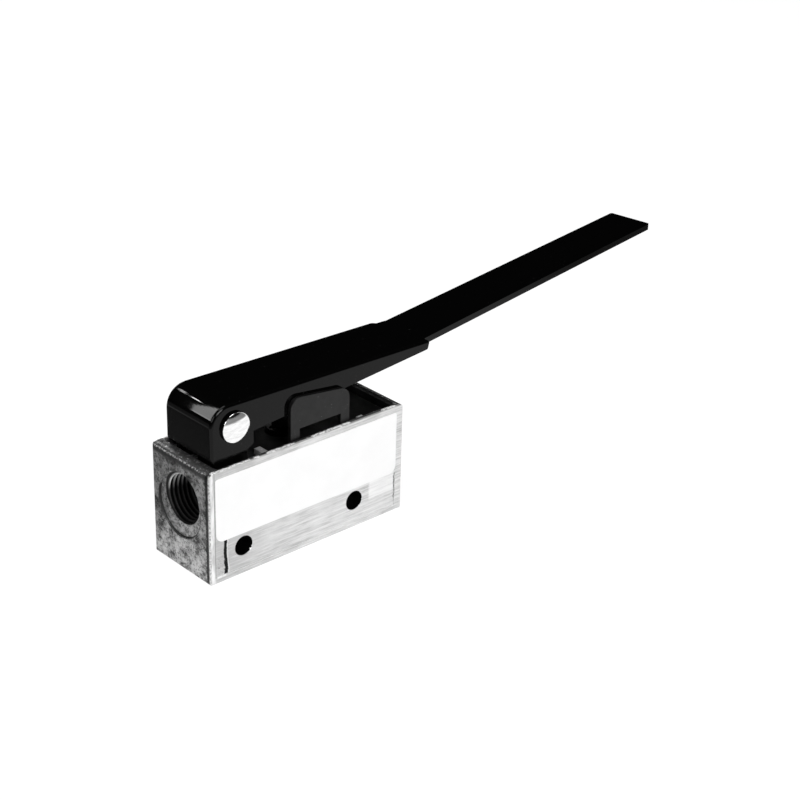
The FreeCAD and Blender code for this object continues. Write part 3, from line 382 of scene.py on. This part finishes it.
def brushed_side(s, streaks, x, y, z):
    """Machined side with streaks, scratches and clouds, duller at the inlet end."""
    scratches = s.noise(0.22, 4.0, stretch=(0.09, 1.0, 1.0), turn=(0, -14, 0), roughness=0.6)
    clouds = s.noise(6.0, 4.0)
    colour = s.mix(s.spread(streaks, 0.36, 0.62), 0.46, 0.80)
    colour = s.mix(s.spread(scratches, 0.58, 0.72, 0.0, 0.5), colour, 0.46)
    colour = s.mix(s.spread(clouds, 0.42, 0.7, 0.0, 0.5), colour, 0.86)
    dull = s.times(s.spread(x, *DULL_FADE, 0.65, 0.0), s.spread(clouds, 0.3, 0.6, 1.0, 0.4))
    colour = s.mix(dull, colour, 0.48)
    # A paler patch on the front near the +X end is a painted reflection, sheen painted into the
    # colour.
    sheen_patch = s.times(s.between(x, *SHEEN_PATCH_X, 0.3), s.between(z, *SHEEN_PATCH_Z, 0.4))
    sheened = s.mix(s.times(sheen_patch, s.spread(streaks, 0.3, 0.6, 0.5, 0.9)), colour, 0.93)
    return s.mix(s.spread(y, *FRONT_FADE), colour, front_marks(s, sheened, x, z))


def front_marks(s, colour, x, z):
    """Lines and nicks on the machined front.

    Painted shade and painted highlights along the panel's edges, the corner painted lighter as a
    highlight, and small dents.
    """
    wave = s.times(s.math("SUBTRACT", s.noise(1.6, 3.0), 0.5), 0.9)
    bent = s.math("ADD", x, wave)
    low = s.between(z, *WAVY_Z, 0.15)
    # A wavy line of painted shade along the panel's step, with a painted highlight beside it.
    colour = s.mix(s.times(s.between(bent, *WAVY_BORDER_X, 0.1), low), colour, 0.8)
    colour = s.mix(s.times(s.between(bent, *WAVY_X, 0.08), low), colour, 0.0)
    # The front corner is painted lighter, as a painted highlight on its edge.
    corner_noise = s.noise(0.7, 4.0, stretch=(1.0, 1.0, 0.2))
    sheened = s.mix(s.spread(corner_noise, 0.35, 0.6), 0.6, 0.95)
    colour = s.mix(s.spread(x, *CORNER_FADE), colour, sheened)
    line = s.times(s.between(x, *CORNER_LINE_X, 0.06), s.spread(z, *CORNER_LINE_FADE), 0.6)
    colour = s.mix(line, colour, 0.18)
    # A painted highlight at the lower corner of the panel.
    foot_glint = s.times(s.between(x, *FOOT_GLINT_X, 0.2), s.between(z, *FOOT_GLINT_Z, 0.12),
                   s.spread(s.noise(0.8, 3.0), 0.35, 0.5))
    colour = s.mix(foot_glint, colour, 0.9)
    nicks = s.times(s.between(x, *NICKS_X, 0.2), s.between(z, *NICKS_Z, 0.3),
                    s.spread(s.noise(0.55, 2.0), 0.57, 0.63))
    colour = s.mix(nicks, colour, 0.12)
    # A fine line of painted shade at the panel's step near the +X end.
    line = s.times(s.between(bent, *STEP_SHADE_X, 0.06), s.between(z, *STEP_SHADE_Z, 0.2), 0.85)
    return s.mix(line, colour, 0.12)


def rough_end(s, grains, y, z):
    """End as cast, with stains, grains and chips, and dark along its borders.

    Its rounded top edge and its front corner carry painted shade and painted highlights.
    """
    stains = s.noise(2.6, 7.0, roughness=0.7)
    colour = s.mix(s.spread(stains, 0.41, 0.59), 0.04, 0.5)
    low = s.times(s.spread(z, *LOW_END_FADE), s.spread(stains, 0.42, 0.6), 0.7)
    colour = s.mix(low, colour, 0.62)
    colour = s.mix(s.spread(grains, 0.52, 0.62, 0.0, 0.85), colour, 0.03)
    chips = s.noise(0.3, 4.0, roughness=0.8)
    colour = s.mix(s.spread(chips, 0.56, 0.68, 0.0, 0.6), colour, 0.75)
    # The rounded top edge of the end gets a band of painted shade, and a painted highlight above
    # it.
    ragged = s.math("ADD", z, s.times(stains, 1.2))
    top_shade = s.mix(grains, 0.0, 0.09)
    colour = s.mix(s.times(s.spread(ragged, *TOP_SHADE_FADE), 0.9), colour, top_shade)
    arris = s.times(s.between(s.normal("Z"), 0.25, 0.7, 0.1), s.spread(z, *ARRIS_FADE))
    colour = s.mix(s.times(arris, s.spread(grains, 0.46, 0.56)), colour, 0.7)
    # A dark line of painted shade, then a painted highlight, along the front corner of the end.
    ragged = s.math("ADD", y, s.times(s.math("SUBTRACT", stains, 0.5), 0.8))
    colour = s.mix(s.times(s.between(ragged, *FRONT_EDGE_BAND, 0.12), 0.95), colour, 0.01)
    bright = s.mix(s.spread(grains, 0.42, 0.6), 0.9, 0.4)
    colour = s.mix(s.spread(y, *FRONT_EDGE_FADE), colour, bright)
    return s.mix(s.spread(y, *BACK_EDGE_FADE), colour, 0.02)


def recess_marks(s, colour, x, y, z):
    """Dark border and lighter floor of the shallow recess round the inlet."""
    far = s.distance(s.math("SUBTRACT", y, RECESS_Y),
                     s.math("SUBTRACT", z, PORT_HEIGHT / MM - RECESS_DROP))
    low = s.times(s.spread(z, *RECESS_TOP_FADE), s.spread(x, *RECESS_END_FADE))
    floor = s.times(s.between(far, *RECESS_FLOOR, 0.1), low)
    chips = s.spread(s.noise(0.5, 3.0), 0.42, 0.62)
    colour = s.mix(floor, colour, s.mix(chips, 0.16, 0.52))
    return s.mix(s.times(s.between(far, *RECESS_BORDER, 0.07), low), colour, 0.04)


def rough_top(s, colour, x, y, z):
    """Dark top with bright specks, ports, pocket lugs, and dark walls of the cross holes.

    The walls of the cross holes are painted black as shade, and the ports get painted light and
    shade.
    """
    top = s.spread(s.normal("Z"), 0.55, 0.85, smooth=True)
    specks = s.spread(s.noise(0.7, 5.0, roughness=0.75), 0.55, 0.66)
    colour = s.mix(s.times(top, 0.92), colour, s.mix(specks, 0.055, 0.5))
    colour = port_shades(s, colour, x, y, z)
    lug = s.times(s.between(z, *LUG_Z, 0.1), s.spread(s.math("ABSOLUTE", y), *LUG_FADE),
                  s.between(x, *LUG_X))
    colour = s.mix(lug, colour, s.mix(specks, 0.55, 0.8))
    # The walls of the cross holes are painted black, as shade.
    hole = s.times(s.between(z, *HOLE_Z, 0.05), s.spread(s.math("ABSOLUTE", x), *HOLE_FADE))
    colour = s.mix(hole, colour, 0.0)
    walls = s.times(s.spread(z, *POCKET_WALL_FADE), s.spread(s.normal("Y"), 0.6, 0.7))
    return s.mix(walls, colour, 0.75)


def port_shades(s, colour, x, y, z):
    """Painted light and shade in the ports: highlights on the thread crests, shade in the roots.

    It is darker further in, with a painted shadow over the lower part.
    """
    radius = s.distance(y, s.math("SUBTRACT", z, PORT_HEIGHT / MM))
    deep = s.math("ABSOLUTE", x)
    threads = s.mix(s.spread(radius, *THREAD_FADE), 0.7, 0.02)
    threads = s.mix(s.spread(deep, *DEEP_FADE, 0.0, 0.9), threads, 0.01)
    leaning = s.math("SUBTRACT", z, s.times(y, SHADOW_LEAN))
    threads = s.mix(s.spread(leaning, *SHADOW_FADE, 0.0, 0.93), threads, 0.0)
    inside = s.times(s.spread(radius, *MOUTH_FADE), s.spread(deep, *MOUTH_DEPTH_FADE),
                     s.spread(deep, *BORE_END_FADE))
    return s.mix(inside, colour, threads)


def label_material():
    """White foil with a faint grain."""
    s = Shader("label_foil", (0.93, 0.93, 0.93), 0.38, specular=0.4)
    s.set("Base Color", s.mix(s.spread(s.noise(6.0), 0.35, 0.7), 0.92, 0.95))
    s.bump(s.noise(0.25, 2.0), 0.004)
    return s.material


def lever_material():
    """Black gloss enamel with a faint orange peel and a little dust."""
    s = Shader("lever_enamel", (0.0015, 0.0015, 0.0015), 0.06, specular=0.17)
    dust = s.spread(s.noise(0.45, 1.0), 0.76, 0.8)
    s.set("Base Color", s.mix(dust, 0.0012, 0.02))
    s.set("Roughness", s.spread(s.noise(5.0, 4.0), 0.3, 0.7, 0.03, 0.05))
    s.bump(s.noise(0.9, 2.0), 0.001)
    return s.material


def bracket_material():
    """Black oxide on sheet steel, duller than the lever and dullest inside the pocket."""
    s = Shader("bracket_oxide", (0.006, 0.006, 0.006), 0.4, specular=0.3)
    specks = s.spread(s.noise(0.3, 1.0), 0.76, 0.8)
    clouds = s.mix(s.spread(s.noise(1.5, 5.0), 0.35, 0.7), 0.003, 0.008)
    s.set("Base Color", s.mix(specks, clouds, 0.12))
    s.set("Specular IOR Level", s.spread(s.position("Z"), *BRACKET_FADE, 0.03, 0.3))
    grain = s.spread(s.noise(0.6, 4.0), 0.3, 0.7, 0.3, 0.42)
    s.set("Roughness", s.math("ADD", grain, s.times(specks, 0.2)))
    s.bump(s.noise(0.15, 3.0), 0.008)
    return s.material


def steel_material(name, level, roughness, grain=0.3):
    """Plain turned or drawn steel."""
    s = Shader(name, (level, level, level), roughness, metallic=1.0)
    marks = s.noise(grain, 4.0, stretch=(1, 1, 3))
    s.set("Base Color", s.mix(s.spread(marks, 0.3, 0.7), level * 0.85, min(1.0, level * 1.08)))
    s.set("Roughness", s.spread(marks, 0.3, 0.7, roughness * 0.8, roughness * 1.25))
    s.bump(marks, 0.004)
    return s.material


def brass_material():
    """Brass turned on a lathe."""
    s = Shader("turned_brass", (0.78, 0.57, 0.28), 0.28, metallic=1.0)
    turned = s.noise(0.12, 3.0, stretch=(0.1, 0.1, 1))
    share = s.spread(turned, 0.3, 0.7)
    s.set("Base Color", s.mix(share, (0.70, 0.48, 0.22), (0.85, 0.64, 0.34)))
    s.set("Roughness", s.spread(turned, 0.3, 0.7, 0.22, 0.36))
    s.bump(turned, 0.004)
    return s.material


def rubber_material():
    """Black nitrile of the seal rings."""
    s = Shader("nitrile_rubber", (0.02, 0.02, 0.02), 0.6, specular=0.3)
    s.set("Base Color", s.mix(s.spread(s.noise(0.6), 0.3, 0.7), 0.015, 0.03))
    s.bump(s.noise(0.1, 2.0), 0.006)
    return s.material


def plastic_material():
    """Black acetal of the button."""
    s = Shader("acetal_button", (0.02, 0.02, 0.02), 0.35, specular=0.35)
    s.set("Base Color", s.mix(s.spread(s.noise(1.2), 0.3, 0.7), 0.014, 0.026))
    s.set("Roughness", s.spread(s.noise(0.4), 0.3, 0.7, 0.28, 0.42))
    s.bump(s.noise(0.2, 2.0), 0.005)
    return s.material


def staking_material():
    """Zinc peened bright by the staking tool."""
    s = Shader("zinc_peened", (0.9, 0.9, 0.89), 0.3, metallic=0.3)
    hits = s.noise(0.8, 4.0, roughness=0.7)
    s.set("Base Color", s.mix(s.spread(hits, 0.36, 0.5), 0.35, 0.97))
    s.set("Roughness", s.spread(hits, 0.3, 0.7, 0.4, 0.25))
    s.bump(s.noise(0.3, 3.0), 0.02)
    return s.material


def floor_material():
    """White floor that keeps the shadow, and shows as the white background."""
    s = Shader("floor_white", (0.9, 0.9, 0.9), 0.8, specular=0.0)
    path = s.node("LightPath")
    seen = s.math("ADD", path.outputs["Is Camera Ray"], path.outputs["Is Glossy Ray"], clamp=True)
    seen = s.math("ADD", seen, path.outputs["Is Transmission Ray"], clamp=True)
    place = s.coords.outputs["Object"]
    far = s.node("VectorMath", {0: place}, operation="LENGTH")
    table = s.spread(far.outputs["Value"], TABLE_RADIUS, 1.5 * TABLE_RADIUS, 1.0, ROOM_LEVEL,
                     smooth=True)
    away = s.node("VectorMath", {0: place, 1: DARK_CORNER}, operation="DISTANCE")
    corner = s.spread(away.outputs["Value"], 0.75 * DARK_CORNER_RADIUS, DARK_CORNER_RADIUS,
                      smooth=True)
    level = s.math("MAXIMUM", s.times(table, corner), path.outputs["Is Camera Ray"])
    glow = s.node("Emission", {"Color": (1, 1, 1, 1), "Strength": s.times(level, FLOOR_GLOW)})
    mixed = s.node("MixShader", {0: s.times(seen, FLOOR_GLOW_SHARE), 1: s.bsdf.outputs[0],
                                 2: glow.outputs[0]})
    s.link(mixed.outputs[0], s.tree.nodes["Material Output"].inputs["Surface"])
    return s.material


def add_floor():
    """Wide white floor under the body."""
    half = FLOOR_HALF
    corners = [(-half, -half, 0), (half, -half, 0), (half, half, 0), (-half, half, 0)]
    mesh = bpy.data.meshes.new("floor")
    mesh.from_pydata(corners, [], [(0, 1, 2, 3)])
    mesh.materials.append(floor_material())
    floor = new_object("floor", mesh)


def add_world():
    """Studio lit from overhead and faintly in front, white to the camera."""
    world = bpy.data.worlds.new("studio")
    world.use_nodes = True
    tree = world.node_tree
    coords = tree.nodes.new("ShaderNodeTexCoord")
    split = tree.nodes.new("ShaderNodeSeparateXYZ")
    path = tree.nodes.new("ShaderNodeLightPath")
    total = tree.nodes.new("ShaderNodeMath")
    seen = tree.nodes.new("ShaderNodeMath")
    seen.operation = "MAXIMUM"
    tree.links.new(coords.outputs["Generated"], split.inputs[0])
    for index, (axis, *limits) in enumerate(WORLD_LIGHT):
        ramp = tree.nodes.new("ShaderNodeMapRange")
        ramp.interpolation_type = "SMOOTHSTEP"
        for socket, value in zip(("From Min", "From Max", "To Min", "To Max"), limits):
            ramp.inputs[socket].default_value = value
        tree.links.new(split.outputs[axis], ramp.inputs["Value"])
        tree.links.new(ramp.outputs["Result"], total.inputs[index])
    tree.links.new(total.outputs[0], seen.inputs[0])
    tree.links.new(path.outputs["Is Camera Ray"], seen.inputs[1])
    background = tree.nodes["Background"]
    background.inputs["Color"].default_value = (1, 1, 1, 1)
    tree.links.new(seen.outputs[0], background.inputs["Strength"])
    scene.world = world


def area_light(name, width, height, radiance):
    """Area light of a given radiance, so that its size doesn't change how bright it looks."""
    data = bpy.data.lights.new(name, "AREA")
    data.shape = "RECTANGLE"
    data.size = width
    data.size_y = height
    data.energy = radiance * math.pi * width * height
    return new_object(name, data)


def add_lamp(name, place, target, width, height, radiance):
    """Studio lamp aimed at a point."""
    light = area_light(name, width, height, radiance)
    light.location = place
    aim = (Vector(target) - Vector(place)).to_track_quat("-Z", "Y")
    light.rotation_euler = aim.to_euler()


def add_bend_lamp(name, y, first, last, width, radiance, parts):
    """Strip lamp behind the valve that shows on the lever's rounded back end.

    y is its place across the lever, and first and last are the turns, in degrees from upright, of
    the mirrored directions at its two ends.  Those directions lie on a cone about the bend's axis,
    so a long strip is made of several parts.
    """
    axis = Vector((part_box("lever")[0].x + BEND_RADIUS, y,
                   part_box("pivot_pin")[1].z - BEND_AXIS_DROP))
    view = (axis - CAMERA_PLACE).normalized()
    reach = math.sqrt(1 - view.y ** 2)
    ends = []
    for index in range(parts + 1):
        angle = math.radians(first + (last - first) * index / parts)
        direction = Vector((-reach * math.sin(angle), view.y, reach * math.cos(angle)))
        normal = (direction - view).normalized()
        ends.append(axis + normal * BEND_RADIUS + direction * BEND_LAMP_DISTANCE)
    for index, (start, stop) in enumerate(zip(ends, ends[1:])):
        along = (stop - start).normalized()
        facing = along.cross(Vector((0, 1, 0))).normalized()
        if facing.dot(axis - start) > 0:
            facing = -facing
        light = area_light(f"{name}_{index}", (stop - start).length, width, radiance)
        light.visible_camera = False
        turn = Matrix((along, facing.cross(along), facing)).transposed().to_4x4()
        light.matrix_world = Matrix.Translation((start + stop) / 2) @ turn


def add_lights():
    """The world, the studio lamps and those that the bend of the lever mirrors."""
    add_world()
    for lamp in LAMPS:
        add_lamp(*lamp)
    for lamp in BEND_LAMPS:
        add_bend_lamp(*lamp)
    for index, (first, last, width) in enumerate(BEND_STEPS):
        add_bend_lamp(f"bend_step_{index}", BEND_SIDE + width / 2, first, last, width,
                      BEND_STEP_RADIANCE, 1)


def baked(obj):
    """Replace an object's mesh by the one that its modifiers give."""
    graph = bpy.context.evaluated_depsgraph_get()
    mesh = bpy.data.meshes.new_from_object(obj.evaluated_get(graph))
    obj.modifiers.clear()
    obj.data = mesh
    return obj


def closed_object(name, work):
    """New object from a closed bmesh, with its faces turned outwards."""
    bmesh.ops.recalc_face_normals(work, faces=work.faces)
    mesh = bpy.data.meshes.new(name)
    work.to_mesh(mesh)
    work.free()
    return new_object(name, mesh)


def bevelled(obj, width, angle, miter):
    """Round an object's sharp edges."""
    bevel = obj.modifiers.new("bevel", "BEVEL")
    bevel.width = width
    bevel.segments = BEVEL_SEGMENTS
    bevel.limit_method = "ANGLE"
    bevel.angle_limit = angle
    bevel.miter_outer = miter
    return baked(obj)


def refined(node, name, width):
    """Copy of a CAD node's mesh, welded, with small round edges."""
    mesh = nodes[node].data.copy()
    mesh.materials.clear()
    work = bmesh.new()
    work.from_mesh(mesh)
    bmesh.ops.remove_doubles(work, verts=work.verts, dist=WELD)
    bmesh.ops.dissolve_degenerate(work, edges=work.edges, dist=WELD)
    bmesh.ops.dissolve_limit(work, angle_limit=FLAT_ANGLE, verts=work.verts, edges=work.edges)
    work.to_mesh(mesh)
    work.free()
    return bevelled(new_object(name, mesh), width, BEVEL_ANGLE, "MITER_ARC")


def smooth(obj, sharp=SHARP_ANGLE):
    """Smooth shading with sharp edges kept, and flat faces kept flat."""
    obj.data.shade_smooth()
    obj.data.set_sharp_from_angle(angle=sharp)
    weighted = obj.modifiers.new("normals", "WEIGHTED_NORMAL")
    weighted.keep_sharp = True
    return baked(obj)


def cut(obj, cutter, solver):
    """Take a cutter's volume out of an object, and remove the cutter."""
    boolean = obj.modifiers.new("cut", "BOOLEAN")
    boolean.operation = "DIFFERENCE"
    boolean.solver = solver
    boolean.object = cutter
    baked(obj)
    bpy.data.objects.remove(cutter)


def thread_radius(depth, row):
    """Radius of the thread cutter at a depth from its outer end and a row of the thread's form."""
    if depth <= 0.0:
        return THREAD_AIR
    root = THREAD_ROOT - max(depth - THREAD_LEAD, 0.0) * THREAD_TAPER
    part = row % THREAD_ROWS / THREAD_ROWS
    ridge = min(1.0, THREAD_FLAT * abs(2 * part - 1))
    runout = max(0.0, (THREAD_LENGTH + THREAD_LEAD - depth) / THREAD_RUNOUT)
    return THREAD_AIR + (root - THREAD_AIR) * ridge * min(1.0, runout)


def thread_cutter(side):
    """Closed rod with the pipe thread on it, along X, that cuts one port's thread."""
    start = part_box("valve_body")[1].x * side + THREAD_LEAD * side
    length = THREAD_LENGTH + THREAD_LEAD
    rows = (int(length / THREAD_PITCH) + 2) * THREAD_ROWS
    work = bmesh.new()
    grid = []
    for step in range(THREAD_STEPS):
        turn = step / THREAD_STEPS
        angle = 2 * math.pi * turn
        column = []
        for row in range(rows):
            phase = row / THREAD_ROWS + turn - 1.0
            depth = min(max(phase * THREAD_PITCH, 0.0), length)
            radius = thread_radius(depth, row)
            column.append(work.verts.new((start - side * depth, radius * math.cos(angle),
                                          PORT_HEIGHT + radius * math.sin(angle))))
        grid.append(column)
    for step in range(THREAD_STEPS):
        wrap = THREAD_ROWS if step == THREAD_STEPS - 1 else 0
        here, there = grid[step], grid[(step + 1) % THREAD_STEPS]
        for row in range(rows - 1 - wrap):
            work.faces.new((here[row], here[row + 1], there[row + 1 + wrap], there[row + wrap]))
    bmesh.ops.remove_doubles(work, verts=work.verts, dist=THREAD_WELD)
    bmesh.ops.dissolve_degenerate(work, edges=work.edges, dist=THREAD_WELD)
    open_edges = [edge for edge in work.edges if edge.is_boundary]
    bmesh.ops.holes_fill(work, edges=open_edges, sides=0)
    return closed_object("thread_cutter", work)


def corner_cutter(side):
    """Prism across the body that leaves the top edge of one end round."""
    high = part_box("valve_body")[1]
    centre_x, centre_z = high.x - END_ROUNDING, high.z - END_ROUNDING
    outline = [(centre_x, high.z + MM), (high.x + MM, high.z + MM), (high.x + MM, centre_z)]
    for step in range(ARC_STEPS + 1):
        angle = math.radians(END_ARC_START + END_ARC_SWEEP * step / ARC_STEPS)
        outline.append((centre_x + END_ROUNDING * math.cos(angle),
                        centre_z + END_ROUNDING * math.sin(angle)))
    work = bmesh.new()
    rings = [[work.verts.new((x * side, y, z)) for x, z in outline]
             for y in (-high.y - MM, high.y + MM)]
    for index in range(len(outline)):
        after = (index + 1) % len(outline)
        work.faces.new((rings[0][index], rings[0][after], rings[1][after], rings[1][index]))
    for ring in rings:
        work.faces.new(ring)
    return closed_object("corner_cutter", work)


def make_label():
    """Foil label on the front face, with round corners."""
    work = bmesh.new()
    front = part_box("valve_body")[0].y
    ring = []
    for quarter in range(4):
        right, upper = quarter in (0, 3), quarter in (0, 1)
        radius = LABEL_CORNERS[0 if upper else 1]
        centre_x = LABEL_X[1] - radius if right else LABEL_X[0] + radius
        centre_z = LABEL_Z[1] - radius if upper else LABEL_Z[0] + radius
        for step in range(ARC_STEPS + 1):
            angle = math.radians(90 * quarter + 90 * step / ARC_STEPS)
            ring.append(work.verts.new((centre_x + radius * math.cos(angle), front,
                                        centre_z + radius * math.sin(angle))))
    face = work.faces.new(ring)
    moved = bmesh.ops.extrude_face_region(work, geom=[face])["geom"]
    verts = [part for part in moved if isinstance(part, bmesh.types.BMVert)]
    bmesh.ops.translate(work, vec=(0, -LABEL_THICKNESS, 0), verts=verts)
    label = closed_object("label_plate", work)
    return smooth(bevelled(label, LABEL_EDGE, LABEL_BEVEL_ANGLE, "MITER_SHARP"))


def make_rivet():
    """Rivet with a low domed head, a bevelled rim and a clinched tail."""
    low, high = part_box("pivot_pin")
    centre = (low + high) / 2
    head = (high.x - low.x) / 2 / MM
    outline = [(head - inset, y) for inset, y in RIVET_RIM]
    for step in range(ARC_STEPS + 1):
        radius = (head - RIVET_DOME_INSET) * (ARC_STEPS - step) / ARC_STEPS
        drop = RIVET_DOME_RADIUS - math.sqrt(RIVET_DOME_RADIUS ** 2 - radius ** 2)
        outline.append((radius, RIVET_CROWN_Y + drop))
    outline += RIVET_TAIL
    rivet = turned("rivet_polished", outline, centre.x, centre.z, RIVET_STEPS)
    return smooth(rivet, RIVET_SHARP_ANGLE)


def turned(name, outline, x, z, steps):
    """Solid of revolution about an axis along Y.

    The outline is closed and made of pairs of radius and y, in millimetres.
    """
    work = bmesh.new()
    rings = []
    for radius, y in outline:
        count = steps if radius > 0.0 else 1
        angles = [2 * math.pi * step / steps for step in range(count)]
        rings.append([work.verts.new((x + radius * MM * math.cos(angle), y * MM,
                                      z + radius * MM * math.sin(angle))) for angle in angles])
    for ring, other in zip(rings, rings[1:] + rings[:1]):
        if len(ring) == 1 and len(other) == 1:
            continue
        for step in range(steps):
            after = (step + 1) % steps
            corners = (ring[step % len(ring)], ring[after % len(ring)],
                       other[after % len(other)], other[step % len(other)])
            work.faces.new(list(dict.fromkeys(corners)))
    return closed_object(name, work)


def make_staking():
    """Peened burrs along the top of the rim, where the casting is staked over the bracket."""
    draw = random.Random(STAKED_SEED)
    low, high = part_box("valve_body")
    top = high.z
    work = bmesh.new()
    for side, spans in STAKED_SPANS:
        edge = low.y if side < 0 else high.y
        for start, stop in spans:
            steps = max(4, int((stop - start) / STAKED_STEP))
            rings = []
            for step in range(steps + 1):
                x = (start + (stop - start) * step / steps) * MM
                swell = 1.0 if 0 < step < steps else STAKED_END_SWELL
                rise = (STAKED_RISE + STAKED_RISE_RANGE * draw.random()) * swell * MM
                inset = STAKED_OUTER + STAKED_OUTER_RANGE * draw.random()
                outer = edge - side * inset * MM
                inset = STAKED_INNER + STAKED_INNER_RANGE * draw.random() * swell
                inner = edge - side * inset * MM
                cross = ((outer, top - STAKED_FOOT), (outer, top - STAKED_SHOULDER),
                         (outer * 0.75 + inner * 0.25, top + rise),
                         (outer * 0.3 + inner * 0.7, top + rise * 0.8),
                         (inner, top - STAKED_SHOULDER), (inner, top - STAKED_FOOT))
                rings.append([work.verts.new((x, y, z)) for y, z in cross])
            for here, there in zip(rings, rings[1:]):
                for index in range(len(here)):
                    after = (index + 1) % len(here)
                    work.faces.new((here[index], here[after], there[after], there[index]))
            work.faces.new(rings[0])
            work.faces.new(rings[-1])
    return smooth(closed_object("rim_staking", work), STAKED_SHARP_ANGLE)


def make_hole_burrs():
    """Small burrs left by the drill on the front rims of the cross holes."""
    work = bmesh.new()
    for x, z, sizes in HOLE_BURRS:
        for turn, size in sizes:
            angle = math.radians(turn)
            out = Vector((math.cos(angle), 0.0, math.sin(angle)))
            side = Vector((-out.z, 0.0, out.x))
            rim = Vector((x, HOLE_RIM_Y, z)) + out * HOLE_RIM_RADIUS
            corners = (rim - side * size, rim + side * size,
                       rim - out * (HOLE_BURR_TIP + size) + Vector((0, HOLE_BURR_DIP, 0)),
                       rim + Vector((0, HOLE_BURR_ROOT, 0)))
            tips = [work.verts.new(corner * MM) for corner in corners]
            for skipped in range(len(tips)):
                work.faces.new([tip for index, tip in enumerate(tips) if index != skipped])
    return closed_object("hole_burrs", work)


def finish_piece(obj, material, body, slot, *replaced):
    """Give a piece its material, its body and the CAD nodes that it stands for.

    slot is not used.
    """
    obj.data.materials.clear()
    obj.data.materials.append(material)
    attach(obj, body)
    if replaced:
        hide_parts(*replaced)


def dress(node, material):
    """Give a CAD node that stays a better material."""
    for slot in nodes[node].material_slots:
        slot.material = material


def add_spring():
    """The return spring, on which the spool comes down; it stays one piece with the housing."""
    spring = smooth(new_object("spring_wound", nodes["return_spring"].data.copy()))
    steel = steel_material("spring_drawn", 0.6, 0.28)
    finish_piece(spring, steel, "housing", "spring_steel", "return_spring")
    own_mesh(spring)


def build_valve():
    """Every piece of the valve: remade copies, added burrs and dressed CAD nodes."""
    zinc = zinc_material()
    casting = refined("valve_body", "body_casting", CASTING_EDGE)
    for side in (-1, 1):
        cut(casting, corner_cutter(side), "MANIFOLD")
        cut(casting, thread_cutter(side), "EXACT")
    finish_piece(smooth(casting), zinc, "housing", "zinc", "valve_body")
    lever = smooth(refined("lever", "lever_formed", LEVER_EDGE))
    finish_piece(lever, lever_material(), "lever", "lever_black", "lever")
    bracket = smooth(refined("bracket", "bracket_formed", BRACKET_EDGE))
    finish_piece(bracket, bracket_material(), "housing", "black_steel", "bracket")
    polish = steel_material("rivet_polish", 0.95, 0.05, 1.5)
    finish_piece(make_rivet(), polish, "housing", "rivet_steel", "pivot_pin")
    finish_piece(make_label(), label_material(), "housing", "label", "face_label")
    peened = staking_material()
    finish_piece(make_staking(), peened, "housing", "zinc")
    finish_piece(make_hole_burrs(), peened, "housing", "zinc")
    add_spring()
    dress("pivot_spacer", steel_material("spacer_steel", 0.55, 0.35))
    dress("spring_washer", steel_material("washer_steel", 0.5, 0.4))
    # The spool and the guide bush are given near-black steel.
    dress("spool", steel_material("spool_dark_steel", 0.03, 0.35))
    dress("button", plastic_material())
    dress("sleeve", brass_material())
    dress("guide_bush", steel_material("bush_dark_steel", 0.004, 0.5))
    rubber = rubber_material()
    for ring in ("exhaust_ring", "inlet_ring", "balance_ring",
                 "sleeve_ring_top", "sleeve_ring_middle", "sleeve_ring_low"):
        dress(ring, rubber)


place_camera()
add_floor()
add_lights()
build_valve()
